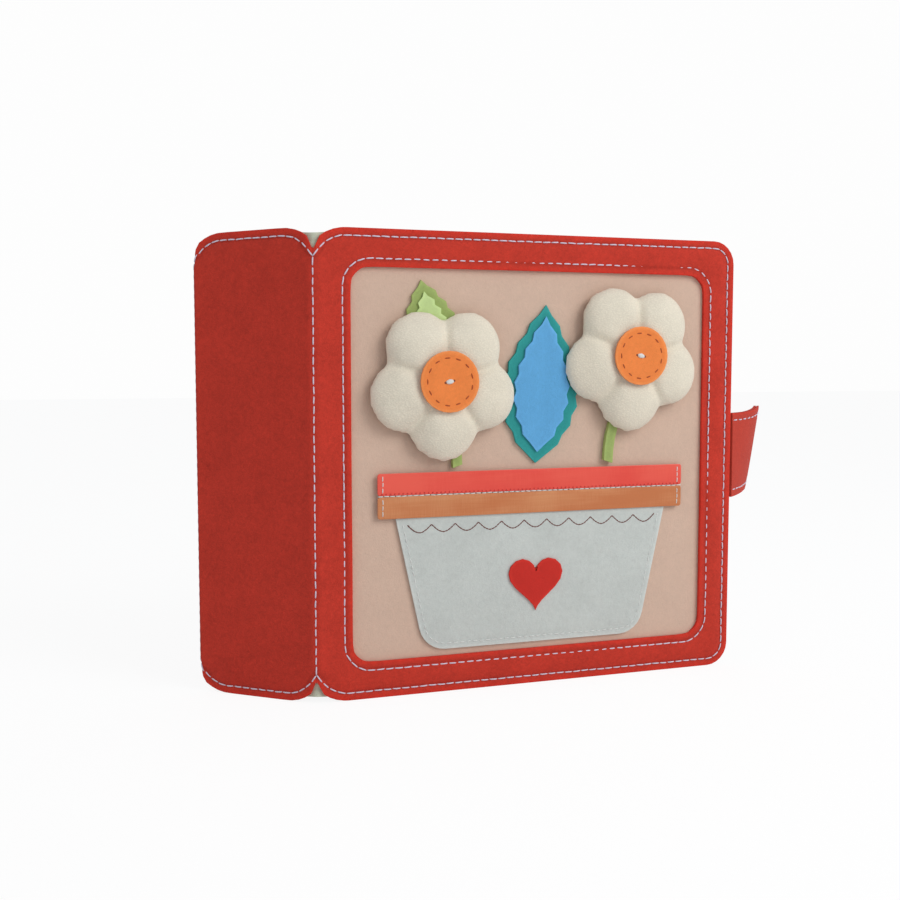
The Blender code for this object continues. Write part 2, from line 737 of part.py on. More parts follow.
def page_shape_outlines():
    """Each page has one shape on each side, high on its front and low on its back."""
    high = (PAGE_WIDTH / 2, PANEL_HEIGHT / 2 + PAGE_SHAPE_SHIFT)
    low = (PAGE_WIDTH / 2, PANEL_HEIGHT / 2 - PAGE_SHAPE_SHIFT)
    size = PAGE_SHAPE_RADIUS
    tip_share = 1.1
    square_share = 1.2
    star_share = 0.5
    oval_shares = (1.2, 0.8)
    corner = size / 8
    return (
        ("circle", ellipse(high, (size, size)), "orange_felt"),
        ("square", rounded_polygon(polygon(low, size * square_share, 4, 45), corner), "blue_felt"),
        ("triangle", rounded_polygon(polygon(high, size * tip_share, 3), corner), "lime_felt"),
        ("star", star(low, size * tip_share, size * star_share, 5), "red_felt"),
        ("heart", heart(high, size * 2), "red_felt"),
        ("crescent", crescent(low, size), "blue_felt"),
        ("hexagon", rounded_polygon(polygon(high, size * tip_share, 6), corner), "teal_felt"),
        ("oval", ellipse(low, (size * oval_shares[0], size * oval_shares[1])), "orange_felt"),
    )


def page_outline(margin, root_margin, slack=0):
    low = (PANEL_HEIGHT - PAGE_HEIGHT) / 2
    fore = PAGE_RADIUS - margin / 2
    root_radii = SQUARE if root_margin == 0 else (fore, fore)
    return rounded_box(
        root_margin - slack,
        PAGE_WIDTH - margin + slack,
        low + margin - slack,
        low + PAGE_HEIGHT - margin + slack,
        root_radii,
        (fore, fore),
    )


def make_page(index, shapes):
    hinge = new_empty(f"page_{index + 1}_hinge", page_hinge_place(index))
    name = f"page_{index + 1}"
    face = PAGE_DEPTH / 2
    felt_in = face - PAGE_FELT
    whole = page_outline(0, 0)
    front = plate(f"{name}_front_felt", whole, -face, -LAYER_GAP / 2, hinge, "pale_green_felt")
    back = plate(f"{name}_back_felt", whole, LAYER_GAP / 2, face, hinge, "pale_green_felt")
    pocket = page_outline(PAGE_MARGIN, PAGE_MARGIN, LAYER_GAP)
    boolean(front, plate_cutter(f"{name}_front_pocket", pocket, -felt_in, face, hinge))
    boolean(back, plate_cutter(f"{name}_back_pocket", pocket, -face, felt_in, hinge))
    inner = page_outline(PAGE_MARGIN, PAGE_MARGIN)
    half = PAGE_WADDING / 2
    plate(f"{name}_wadding", inner, -half, half, hinge, "white_wadding")
    for side, (shape, outline, material) in zip((-1, 1), shapes):
        near = side * (face + LAYER_GAP)
        far = near + side * PAGE_SHAPE_FELT
        plate(f"{name}_{shape}", outline, min(near, far), max(near, far), hinge, material)


def make_book():
    spine = new_empty("spine_corner", BACK_FOLD, -SPINE_LEAN)
    make_panel("spine", spine, 0, SPINE_WIDTH, SHARP_HALF, WIDE_HALF, OUTER_FELT)

    front = new_empty("front_cover_hinge", FRONT_FOLD)
    front_outer = make_panel("front", front, 0, COVER_WIDTH, WIDE_HALF, None, WINDOW_FACE)
    make_window(front_outer, front)
    make_pot(front)
    make_leaves(front)
    make_stems(front)
    meshes = {
        "skin": puff_mesh("puff_skin", 0),
        "hollow": puff_mesh("puff_hollow", TERRY),
        "filling": puff_mesh("puff_filling", TERRY + LAYER_GAP),
    }
    make_blossom("left", LEFT_BLOSSOM, front, meshes)
    make_blossom("right", RIGHT_BLOSSOM, front, meshes)
    make_strap(front)

    back = new_empty("back_cover_hinge", BACK_FOLD, math.pi)
    make_panel("back", back, -COVER_WIDTH, 0, None, SHARP_HALF, OUTER_FELT)
    make_loop_patch(back)

    shapes = page_shape_outlines()
    for index in range(PAGE_COUNT):
        make_page(index, shapes[2 * index : 2 * index + 2])


make_book()
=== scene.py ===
# %% [markdown]
# # A quiet book of sewn felt
# A quiet book is a soft book for a small child. Its covers are felt over a stiff board, its pages are
# padded felt, and everything on it is sewn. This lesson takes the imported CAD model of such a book,
# which knows the sizes and the hinges, and gives each piece its real shape and finish in Blender.
# The CAD pieces could be shown as they are, but felt that is cut, folded and sewn has soft rims, sunken
# seams and raised threads, so nearly every piece is made again here from the outline that the CAD has.

import json
import math
import random

import bpy
import numpy as np
from mathutils import Matrix, Vector, noise


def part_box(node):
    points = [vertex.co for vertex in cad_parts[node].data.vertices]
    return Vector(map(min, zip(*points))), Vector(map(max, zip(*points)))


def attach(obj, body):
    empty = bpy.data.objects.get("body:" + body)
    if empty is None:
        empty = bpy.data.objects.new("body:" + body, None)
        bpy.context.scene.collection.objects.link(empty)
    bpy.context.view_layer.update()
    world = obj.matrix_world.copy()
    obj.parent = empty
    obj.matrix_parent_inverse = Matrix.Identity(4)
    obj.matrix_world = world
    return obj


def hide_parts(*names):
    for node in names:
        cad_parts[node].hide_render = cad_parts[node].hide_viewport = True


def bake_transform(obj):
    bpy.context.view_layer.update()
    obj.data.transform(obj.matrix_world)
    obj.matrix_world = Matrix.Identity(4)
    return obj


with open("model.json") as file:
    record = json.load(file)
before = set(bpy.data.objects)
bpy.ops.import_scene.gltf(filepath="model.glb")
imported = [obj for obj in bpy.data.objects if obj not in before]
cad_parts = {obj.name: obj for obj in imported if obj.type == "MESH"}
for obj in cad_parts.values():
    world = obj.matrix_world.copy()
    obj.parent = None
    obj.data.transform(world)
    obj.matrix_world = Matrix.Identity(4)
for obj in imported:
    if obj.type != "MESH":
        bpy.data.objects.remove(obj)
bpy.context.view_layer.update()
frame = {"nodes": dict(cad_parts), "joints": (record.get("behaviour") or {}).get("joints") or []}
MM = 0.001

# %% [markdown]
# ## Where the panels and folds are
# The spine and the two covers are one strip of felt that is folded twice. It is easiest to work on that
# strip while it is flat: u runs along the strip from the front fold, d goes down into the book, and v
# goes up. Each panel has a matrix that carries flat places to where the panel stands, and the CAD's
# hinges say where the folds are, so nothing has to be measured again.

# %% Panels and folds
joints = {joint["name"]: joint for joint in frame["joints"]}


def hinge_place(name):
    """A vertical hinge's foot."""
    place = Vector(joints[name]["pos_m"])
    place.z = 0
    return place


RIGHT = Vector((1, 0, 0))
INWARD = Vector((0, 1, 0))
UP = Vector((0, 0, 1))
FRONT_FOLD = hinge_place("front_cover_fold")
BACK_FOLD = hinge_place("back_cover_fold")
ALONG_SPINE = (FRONT_FOLD - BACK_FOLD).normalized()
INTO_SPINE = UP.cross(ALONG_SPINE)
SPINE_WIDTH = (FRONT_FOLD - BACK_FOLD).length
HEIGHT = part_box("front_outer_felt")[1].z
COVER_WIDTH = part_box("front_outer_felt")[1].x - FRONT_FOLD.x


def panel_matrix(corner, along, into, fold_u):
    turn = Matrix((along, into, UP)).transposed().to_4x4()
    return Matrix.Translation(corner) @ turn @ Matrix.Translation((-fold_u, 0, 0))


PANELS = {
    "front": panel_matrix(FRONT_FOLD, RIGHT, INWARD, 0),
    "spine": panel_matrix(FRONT_FOLD, ALONG_SPINE, INTO_SPINE, 0),
    "back": panel_matrix(BACK_FOLD, -RIGHT, -INWARD, -SPINE_WIDTH),
}
print("cover", round(COVER_WIDTH / MM, 1), "mm wide, spine", round(SPINE_WIDTH / MM, 1), "mm wide")

# %% [markdown]
# ## Folding the strip
# A fold in thick felt is never a knife edge. Near each fold the strip follows a round of a few
# millimetres that meets both panels without a step. A bend modifier could do this, but the same
# rule is needed for seams and threads too, so it is written once as a function of a flat place.

# %% The rule of a fold
# Each fold has its flat place, its corner, the directions away from it on both sides, and its reach.
FOLDS = (
    (0.0, FRONT_FOLD, RIGHT, -ALONG_SPINE, 3.0 * MM),
    (-SPINE_WIDTH, BACK_FOLD, ALONG_SPINE, RIGHT, 1.9 * MM),
)
FOLD_CLEARANCE = 0.15 * MM
FOLD_BULGE = 0.8 * MM
BULGE_WIDTH = 4 * MM


def fold_directions(fold):
    """The directions into the book and across the fold."""
    right, left = fold[2], fold[3]
    return (right + left).normalized(), (right - left).normalized()


def folded(u, d, v, keep_sides=True):
    """The world place of a flat place, and the direction out of the felt there."""
    fold = FOLDS[0] if u > -SPINE_WIDTH / 2 else FOLDS[1]
    fold_u, corner, right, left, reach = fold
    inward, across = fold_directions(fold)
    half = (math.pi - right.angle(left)) / 2
    along = u - fold_u
    share = max(-1, min(1, along / reach))
    outward = -inward * math.cos(share * half) + across * math.sin(share * half)
    if abs(along) >= reach:
        place = corner + (right if along > 0 else left) * abs(along)
    else:
        radius = reach / math.tan(half)
        place = corner + inward * radius / math.cos(half) + outward * radius
    place = place - outward * (d - FOLD_BULGE * math.exp(-((along / BULGE_WIDTH) ** 2)))
    if keep_sides:
        side = (place - corner).dot(across)
        if along > 1e-7 and side < FOLD_CLEARANCE:
            place = place + across * (FOLD_CLEARANCE - side)
        elif along < -1e-7 and side > -FOLD_CLEARANCE:
            place = place - across * (FOLD_CLEARANCE + side)
        elif abs(along) <= 1e-7:
            place = place - across * side
    return Vector((place.x, place.y, v)), outward


print("the front fold's ridge is at", [round(x / MM, 2) for x in folded(0, 0, 0)[0]])

# %% [markdown]
# ## Tools of the sewing table
# Every operator works on what is selected, and the loaded CAD pieces arrive selected, so the first
# tool selects one piece and nothing else. The others copy a flat outline from a CAD piece, cut a grid
# into it so that it can curve, and measure how far each point is from the cut edge. That distance is
# kept on the mesh as an attribute, because the felt is thinner and sewn near its edge, and its colour
# there gets a painted highlight along the rim and painted shade along the seam.

# %% Selecting, cutting out and cutting a grid


def only(piece):
    bpy.ops.object.select_all(action="DESELECT")
    piece.select_set(True)
    bpy.context.view_layer.objects.active = piece
    return piece


def new_shape(name, add, **settings):
    """A basic shape from one of Blender's add operators, selected alone."""
    bpy.ops.object.select_all(action="DESELECT")
    add(**settings)
    shape = bpy.context.view_layer.objects.active
    shape.name = shape.data.name = name
    return shape


def in_edit_mode(piece, mode="FACE"):
    only(piece)
    bpy.ops.object.mode_set(mode="EDIT")
    bpy.ops.mesh.select_mode(type=mode)
    bpy.ops.mesh.select_all(action="SELECT")


def in_object_mode():
    bpy.ops.object.mode_set(mode="OBJECT")


def points_of(piece):
    places = np.zeros(len(piece.data.vertices) * 3)
    piece.data.vertices.foreach_get("co", places)
    return places.reshape(-1, 3)


def move_points(piece, places):
    piece.data.vertices.foreach_set("co", np.asarray(places, float).ravel())
    piece.data.update()


def cut_out(name, node, to_world, facing):
    """A CAD piece's flat outline, laid flat. facing is -1 for its outer side and 1 for its inner."""
    source = frame["nodes"][node]
    piece = source.copy()
    piece.data = source.data.copy()
    piece.name = piece.data.name = name
    for key in list(piece.keys()):
        del piece[key]
    piece.parent = None
    piece.hide_render = piece.hide_viewport = False
    piece.data.materials.clear()
    bpy.context.scene.collection.objects.link(piece)
    piece.data.transform(to_world.inverted())
    in_edit_mode(piece)
    bpy.ops.mesh.customdata_custom_splitnormals_clear()
    bpy.ops.mesh.remove_doubles(threshold=1e-6)
    in_object_mode()
    for face in piece.data.polygons:
        face.select = face.normal.y * facing < 0.99
    bpy.ops.object.mode_set(mode="EDIT")
    bpy.ops.mesh.delete(type="FACE")
    bpy.ops.mesh.select_all(action="SELECT")
    bpy.ops.mesh.mark_sharp(clear=True)
    bpy.ops.mesh.dissolve_limited(angle_limit=math.radians(0.5))
    in_object_mode()
    return piece


def cut_lines(piece, direction, places):
    """Cuts straight lines across a flat piece, so that it can curve there."""
    in_edit_mode(piece)
    for place in places:
        bpy.ops.mesh.select_all(action="SELECT")
        bpy.ops.mesh.bisect(plane_co=direction * place, plane_no=direction, threshold=2e-6)
    in_object_mode()


def even_places(start, end, step):
    count = max(1, round((end - start) / step))
    return [start + (end - start) * i / count for i in range(1, count)]


def rim_lines(low, high, offsets):
    return [low + x for x in offsets] + [high - x for x in offsets]


def open_edges(piece):
    """The two ends of each edge that has a face on one side only."""
    mesh = piece.data
    edge_of_corner = np.zeros(len(mesh.loops), int)
    mesh.loops.foreach_get("edge_index", edge_of_corner)
    uses = np.bincount(edge_of_corner, minlength=len(mesh.edges))
    ends = np.zeros(len(mesh.edges) * 2, int)
    mesh.edges.foreach_get("vertices", ends)
    places = points_of(piece)
    ends = ends.reshape(-1, 2)[uses == 1]
    return places[ends[:, 0]], places[ends[:, 1]]


def distance_to(places, starts, ends):
    """How far each place is from the nearest of some straight edges."""
    nearest = np.full(len(places), 1.0)
    for a, b in zip(starts, ends):
        run = b - a
        share = np.clip((places - a) @ run / max(run @ run, 1e-18), 0, 1)
        gap = places - (a + share[:, None] * run)
        nearest = np.minimum(nearest, np.sqrt((gap**2).sum(1)))
    return nearest


def keep_value(piece, name, values):
    attribute = piece.data.attributes.new(name, "FLOAT", "POINT")
    attribute.data.foreach_set("value", np.asarray(values, np.float32))


def kept_value(piece, name):
    values = np.zeros(len(piece.data.vertices), np.float32)
    piece.data.attributes[name].data.foreach_get("value", values)
    return values


def smooth_step(values):
    values = np.clip(values, 0, 1)
    return values * values * (3 - 2 * values)


def apply_modifiers(piece):
    only(piece)
    for modifier in list(piece.modifiers):
        bpy.ops.object.modifier_apply(modifier=modifier.name)


def thicken(piece, thickness, rim_round):
    """Gives flat felt its thickness behind the face, and rounds its cut rim a little."""
    wall = piece.modifiers.new("wall", "SOLIDIFY")
    wall.thickness = thickness
    wall.offset = -1
    wall.use_even_offset = False
    rim = piece.modifiers.new("rim", "BEVEL")
    rim.width = rim_round
    rim.segments = 2
    rim.limit_method = "ANGLE"
    rim.angle_limit = math.radians(60)
    rim.use_clamp_overlap = True
    apply_modifiers(piece)


def waves(places, size, height, seed):
    """A slow unevenness of felt, the same each run."""
    shift = Vector((seed * 3.1, seed * 1.7, seed * 2.3))
    return np.array([noise.noise(Vector(p) / size + shift) * height for p in places])


print("sewing table ready")

# %% [markdown]
# ## Finishes
# Felt is a mat of short fibres with no weave. Up close its colour wanders a little from fibre to fibre,
# and it has soft cloudy patches. The group also paints a highlight into the colour along the cut rim,
# and painted shade along the sewn line. One node group makes that pattern for every colour of felt, and
# each material keeps its own shader, with a sheen for the fuzz. An image could be wrapped on instead, but
# a pattern that reads the place in space has no seams and needs no picture.

# %% Node helpers


def colour_of(red, green, blue):
    """A screen colour, 0 to 255, as the light that it stands for."""
    parts = [value / 255 for value in (red, green, blue)]
    return tuple(x / 12.92 if x <= 0.04045 else ((x + 0.055) / 1.055) ** 2.4 for x in parts) + (1,)


class Wiring:
    """Short words for adding nodes and links to one node tree."""

    def __init__(self, tree):
        self.tree = tree

    def node(self, kind, **settings):
        made = self.tree.nodes.new(kind)
        for name, value in settings.items():
            setattr(made, name, value)
        return made

    def link(self, source, target):
        self.tree.links.new(source, target)

    def fill(self, socket, value):
        if isinstance(value, bpy.types.NodeSocket):
            self.link(value, socket)
        else:
            socket.default_value = value

    def math(self, operation, *values):
        made = self.node("ShaderNodeMath", operation=operation)
        for socket, value in zip(made.inputs, values):
            self.fill(socket, value)
        return made.outputs[0]

    def mix(self, factor, first, second):
        made = self.node("ShaderNodeMix", data_type="RGBA")
        self.fill(made.inputs[0], factor)
        self.fill(made.inputs[6], first)
        self.fill(made.inputs[7], second)
        return made.outputs[2]

    def shaded(self, colour, lightness):
        made = self.node("ShaderNodeVectorMath", operation="SCALE")
        self.link(colour, made.inputs[0])
        self.link(lightness, made.inputs["Scale"])
        return made.outputs[0]

    def remap(self, value, low, high, to_low=0.0, to_high=1.0):
        made = self.node("ShaderNodeMapRange", interpolation_type="SMOOTHSTEP")
        for socket, given in zip(made.inputs, (value, low, high, to_low, to_high)):
            self.fill(socket, given)
        return made.outputs[0]

    def noise(self, place, scale, detail=2.0, roughness=0.5, distortion=0.0):
        made = self.node("ShaderNodeTexNoise")
        self.link(place, made.inputs["Vector"])
        self.fill(made.inputs["Scale"], scale)
        made.inputs["Detail"].default_value = detail
        made.inputs["Roughness"].default_value = roughness
        made.inputs["Distortion"].default_value = distortion
        return made.outputs["Fac"]

    def stretched(self, place, scale, turn=(0, 0, 0)):
        made = self.node("ShaderNodeMapping")
        self.link(place, made.inputs["Vector"])
        made.inputs["Scale"].default_value = scale
        made.inputs["Rotation"].default_value = turn
        return made.outputs["Vector"]


def new_group(name, inputs):
    """A node group for a finish: its wiring, the place in space, the sockets given and the ones to fill."""
    group = bpy.data.node_groups.new(name, "ShaderNodeTree")
    kinds = {"colour": "NodeSocketColor", "value": "NodeSocketFloat"}
    for socket_name, kind, value in inputs:
        made = group.interface.new_socket(socket_name, in_out="INPUT", socket_type=kinds[kind])
        made.default_value = value
    for socket_name, kind in (("Colour", "colour"), ("Roughness", "value"), ("Height", "value")):
        group.interface.new_socket(socket_name, in_out="OUTPUT", socket_type=kinds[kind])
    wiring = Wiring(group)
    here = wiring.node("ShaderNodeTexCoord").outputs["Object"]
    return group, wiring, here, wiring.node("NodeGroupInput").outputs, wiring.node("NodeGroupOutput").inputs


# %% The felt group
GREY = (0.5, 0.5, 0.5, 1)
FELT, w, place, given, out = new_group(
    "felt fibres",
    [
        ("Colour", "colour", GREY),
        ("Rim highlight colour", "colour", GREY),
        ("Cloudiness", "value", 0.1),
        ("Fibre contrast", "value", 0.2),
        ("Rim highlight width", "value", 1.6),
        ("Seam inset", "value", 3.3),
        ("Seam depth and painted shade", "value", 0.0),
    ],
)
fibres = w.noise(place, 1300, 5, 0.7, 1.2)
clumps = w.noise(place, 480, 3, 0.6, 0.6)
clouds = w.noise(place, 75, 3, 0.55)
grain = w.math("ADD", w.math("MULTIPLY", fibres, 0.6), w.math("MULTIPLY", clumps, 0.4))
lightness = w.math("ADD", w.math("MULTIPLY", w.math("SUBTRACT", grain, 0.5), given["Fibre contrast"]), 1)
cloud = w.math("MULTIPLY", w.math("SUBTRACT", clouds, 0.5), given["Cloudiness"])
lightness = w.math("ADD", lightness, cloud)
edge = w.node("ShaderNodeAttribute", attribute_name="edge_mm").outputs["Fac"]
# painted highlight: near the cut rim the colour turns to a brighter one
rim_highlight_share = w.math("SUBTRACT", 1, w.remap(edge, 0.15, given["Rim highlight width"]))
from_seam = w.math("DIVIDE", w.math("SUBTRACT", edge, given["Seam inset"]), 0.7)
seam = w.math("EXPONENT", w.math("MULTIPLY", w.math("MULTIPLY", from_seam, from_seam), -1))
# painted shade: the colour is darkened by up to 16% in a band along the sewn line
shade = w.math("SUBTRACT", lightness, w.math("MULTIPLY", w.math("MULTIPLY", seam, given["Seam depth and painted shade"]), 0.16))
felt_colour = w.mix(rim_highlight_share, given["Colour"], given["Rim highlight colour"])
w.link(w.shaded(felt_colour, shade), out["Colour"])
w.link(w.remap(grain, 0.3, 0.7, 0.86, 1.0), out["Roughness"])
sunk = w.math("MULTIPLY", w.math("MULTIPLY", seam, given["Seam depth and painted shade"]), 0.6)
w.link(w.math("SUBTRACT", grain, sunk), out["Height"])
print("felt group has", len(FELT.nodes), "nodes")

# %% Making a material from a group


def new_material(name, group, values, bump, shader_values):
    """A material whose colour, roughness and relief come from a group. bump is (strength, metres)."""
    material = bpy.data.materials.new(name)
    material.use_nodes = True
    wiring = Wiring(material.node_tree)
    shader = material.node_tree.nodes["Principled BSDF"]
    pattern = wiring.node("ShaderNodeGroup", node_tree=group)
    for socket, value in values.items():
        pattern.inputs[socket].default_value = value
    wiring.link(pattern.outputs["Colour"], shader.inputs["Base Color"])
    wiring.link(pattern.outputs["Roughness"], shader.inputs["Roughness"])
    relief = wiring.node("ShaderNodeBump")
    relief.inputs["Strength"].default_value = bump[0]
    relief.inputs["Distance"].default_value = bump[1]
    wiring.link(pattern.outputs["Height"], relief.inputs["Height"])
    wiring.link(relief.outputs["Normal"], shader.inputs["Normal"])
    for socket, value in shader_values.items():
        shader.inputs[socket].default_value = value
    return material


def felt_material(name, colour, rim_highlight_colour=None, cloudiness=0.12, contrast=0.34, seam=0.0, rim_highlight_width=1.6):
    """seam sinks the sewn line in the bump and darkens its colour there as painted shade; the last argument
    is how far the painted highlight along the cut rim reaches in mm.
    """
    colour = colour_of(*colour)
    # unless given, the rim's painted highlight is the felt colour made 12% brighter
    rim_highlight_colour = colour_of(*rim_highlight_colour) if rim_highlight_colour else tuple(min(1, x * 1.12) for x in colour[:3]) + (1,)
    tint = tuple(0.5 + 0.5 * x for x in colour[:3]) + (1,)
    return new_material(
        name,
        FELT,
        {
            "Colour": colour,
            "Rim highlight colour": rim_highlight_colour,
            "Cloudiness": cloudiness,
            "Fibre contrast": contrast,
            "Rim highlight width": rim_highlight_width,
            "Seam depth and painted shade": seam,
        },
        (0.55, 0.5 * MM),
        {"Sheen Weight": 0.12, "Sheen Roughness": 0.45, "Sheen Tint": tint, "Specular IOR Level": 0.15},
    )


RED_FELT = felt_material("red felt", (199, 60, 46), (214, 58, 44), 0.3, 1.15, seam=1.0, rim_highlight_width=2.8)
STRAP_FELT = felt_material("red strap felt", (194, 68, 54), (204, 64, 50), 0.2, 0.6)
HEART_FELT = felt_material("red heart felt", (205, 52, 44))
PEACH_FELT = felt_material("peach felt", (217, 187, 167), cloudiness=0.08)
LINING_FELT = felt_material("pale green lining felt", (198, 203, 182), seam=0.7)
WHITE_FELT = felt_material("white felt", (204, 209, 204), cloudiness=0.2, contrast=0.5)
ORANGE_FELT = felt_material("orange felt", (246, 140, 74), (252, 152, 86), contrast=0.5)
BLUE_FELT = felt_material("sky blue felt", (102, 172, 222), contrast=0.5)
TEAL_FELT = felt_material("teal felt", (54, 154, 150), contrast=0.55)
LIME_FELT = felt_material("lime felt", (198, 220, 150))
OLIVE_FELT = felt_material("olive felt", (160, 178, 106), contrast=0.55)
print("felt materials:", len([m for m in bpy.data.materials if "felt" in m.name]))

# %% [markdown]
# ## The red outer felt
# One piece of red felt covers the back, the spine and the front, where a window is cut out of it. It
# could be made as three plates that meet at the folds, but then each fold would show a gap. So the three
# flat outlines are taken from the CAD, joined into one strip, given a grid, a thickness and sewn-down
# rims while they lie flat, and only then folded round the book.

# %% Lay the strip out flat
FELT_THICKNESS = 1.5 * MM
SEAM_INSET = 3.3 * MM
STRIP_CUT = -SPINE_WIDTH + SEAM_INSET
FOLD_LINES = [x * MM for x in (-3, -2.2, -1.5, -1, -0.5, 0, 0.5, 1, 1.5, 2.2, 3)]
RIM_OFFSETS = [x * MM for x in (0.7, 1.6, 2.5, 3.3, 4.1, 5.2, 7)]
GRID = 4 * MM


def meet_at_fold(piece, fold_u, far_side):
    """Moves a panel's edge onto its fold. far_side is 1 for the panel's high end and -1 for its low end."""
    places = points_of(piece)
    end = (places[:, 0] * far_side).max()
    places[places[:, 0] * far_side > end - 0.2 * MM, 0] = fold_u
    move_points(piece, places)


def joined(pieces, name):
    bpy.ops.object.select_all(action="DESELECT")
    for piece in pieces:
        piece.select_set(True)
    bpy.context.view_layer.objects.active = pieces[0]
    bpy.ops.object.join()
    whole = bpy.context.view_layer.objects.active
    whole.name = whole.data.name = name
    in_edit_mode(whole)
    bpy.ops.mesh.remove_doubles(threshold=0.02 * MM)
    bpy.ops.mesh.normals_make_consistent(inside=False)
    in_object_mode()
    return whole


def flat_strip(name, layer, facing):
    panels = []
    for panel in ("back", "spine", "front"):
        panels.append(cut_out(f"{name}_{panel}", f"{panel}_{layer}", PANELS[panel], facing))
    meet_at_fold(panels[0], -SPINE_WIDTH, 1)
    meet_at_fold(panels[1], -SPINE_WIDTH, -1)
    meet_at_fold(panels[1], 0, 1)
    meet_at_fold(panels[2], 0, -1)
    for panel in panels:
        places = points_of(panel)
        places[:, 1] = 0
        move_points(panel, places)
    return joined(panels, name)


def sides_outward(piece, facing):
    """Turns the flat faces so that they all look the same way."""
    average = sum((face.normal.y * face.area for face in piece.data.polygons), 0.0)
    if average * facing < 0:
        in_edit_mode(piece)
        bpy.ops.mesh.flip_normals()
        in_object_mode()


outer_felt = flat_strip("outer_felt", "outer_felt", -1)
sides_outward(outer_felt, -1)
starts, ends = open_edges(outer_felt)
middle = (starts + ends) / 2
FRAME_LEAST = 12 * MM
in_window = (middle[:, 0] > FRAME_LEAST) & (middle[:, 0] < COVER_WIDTH - FRAME_LEAST)
in_window &= (middle[:, 2] > FRAME_LEAST) & (middle[:, 2] < HEIGHT - FRAME_LEAST)
WINDOW_LOW = starts[in_window].min(0)
WINDOW_HIGH = starts[in_window].max(0)
print("window", [round(x / MM, 1) for x in (*WINDOW_LOW[[0, 2]], *WINDOW_HIGH[[0, 2]])])

# %% Cut the grid, thicken and sew down the rims
low_u = -SPINE_WIDTH - COVER_WIDTH
lines_u = even_places(low_u, COVER_WIDTH, GRID)
lines_u += [fold[0] + x for fold in FOLDS for x in FOLD_LINES]
lines_u += [low_u + x for x in RIM_OFFSETS] + [COVER_WIDTH - x for x in RIM_OFFSETS] + [STRIP_CUT]
lines_u += [WINDOW_LOW[0] - x for x in RIM_OFFSETS] + [WINDOW_HIGH[0] + x for x in RIM_OFFSETS]
lines_v = even_places(0, HEIGHT, GRID) + rim_lines(0, HEIGHT, RIM_OFFSETS)
lines_v += [WINDOW_LOW[2] - x for x in RIM_OFFSETS] + [WINDOW_HIGH[2] + x for x in RIM_OFFSETS]
cut_lines(outer_felt, RIGHT, lines_u)
cut_lines(outer_felt, UP, lines_v)
print("outer felt has", len(outer_felt.data.polygons), "faces while flat")


def bell(values, width):
    return np.exp(-((values / width) ** 2))


def groove(distance, depth, width):
    """How deep a sewn groove is at a distance from its line. Its depth and width are in mm."""
    return depth * MM * bell(distance, width * MM)


def swell(distance, height, reach):
    """How high felt has risen at a distance inside its edge. The height and the reach are in mm."""
    return height * MM * smooth_step(distance / (reach * MM))


def fold_up(piece):
    move_points(piece, [folded(*place)[0] for place in points_of(piece)])


# A groove is given as its depth and width in mm, and a swell as its height and reach in mm.
CUT_GROOVE, SEAM_GROOVE, FOLD_GROOVE = (0.2, 1.0), (0.28, 0.9), (0.25, 1.2)
RIM_SINK = 0.6 * MM
SINK_EDGE, SINK_FADE = 3.5 * MM, 4.5 * MM
SHOULDER = (12 * MM, 8.5 * MM)
NOTCH_SLOPE = 1.6
SEWN_SHOULDER = 15 * MM
NOTCH_DEEPER = 1.2 * MM
NOTCH_END, NOTCH_FADE = 24 * MM, 14 * MM
HEAD_SLOPE = 1.4 * MM
HEAD_SHARE = 0.2
WINDOW_ROUNDING = 0.9 * MM
ARC_MIDDLE, ARC_REACH = 1.3 * MM, 4.8 * MM
CALM_REACH = 14 * MM


def shoulder_height(to_fold, width=SHOULDER[0]):
    """How far a rounded shoulder has risen above the foot of its notch, by the distance to the fold."""
    share = np.clip(1 - np.asarray(to_fold) / width, 0, 1)
    return SHOULDER[1] * np.sqrt(1 - share**2)


def notch_drop(to_fold, up):
    """Cut felt leaves a fold at an angle and not straight up, and a shoulder loses its roundness when it
    is sewn. So the foot of each notch is opened and the shoulder is made longer."""
    to_fold = np.asarray(to_fold)
    sewn = np.minimum(shoulder_height(to_fold, SEWN_SHOULDER), NOTCH_SLOPE * to_fold)
    deeper = NOTCH_DEEPER * np.clip(1 - to_fold / SHOULDER[0], 0, 1) ** 2
    drop = np.maximum(0, shoulder_height(to_fold) - sewn) + deeper
    from_middle = np.asarray(up) - HEIGHT / 2
    fade = smooth_step((abs(from_middle) - HEIGHT / 2 + NOTCH_END) / NOTCH_FADE)
    return -np.sign(from_middle) * drop * fade


def head_slope(along, up):
    """How far the spine's head has come down on its way to the back fold."""
    near = np.clip(1 - abs(np.asarray(along) + SPINE_WIDTH) / SPINE_WIDTH, 0, 1)
    above = (np.asarray(up) / HEIGHT - 1 + HEAD_SHARE) / HEAD_SHARE
    return HEAD_SLOPE * near * smooth_step(above)


def round_window(places):
    """Draws the window's corners in, because sewn felt rounds them more than its cut does."""
    for u, inward_u in ((WINDOW_LOW[0], 1), (WINDOW_HIGH[0], -1)):
        for v, inward_v in ((WINDOW_LOW[2], 1), (WINDOW_HIGH[2], -1)):
            inward = np.array((inward_u, 0, inward_v))
            from_arc = np.linalg.norm(places - np.array((u, 0, v)) - inward * ARC_MIDDLE, axis=1)
            places += inward * WINDOW_ROUNDING * bell(from_arc, ARC_REACH)[:, None]


def gap_to_fold(places):
    return np.minimum(abs(places[:, 0]), abs(places[:, 0] + SPINE_WIDTH))


def rim_sink(edge):
    """How far the whole felt sinks towards the layers it is sewn to."""
    return RIM_SINK * (1 - smooth_step((edge - SINK_EDGE) / SINK_FADE))


def face_sink(edge):
    """How far its face is pulled in at the cut rim and along the seam."""
    return groove(edge, *CUT_GROOVE) + groove(edge - SEAM_INSET, *SEAM_GROOVE)


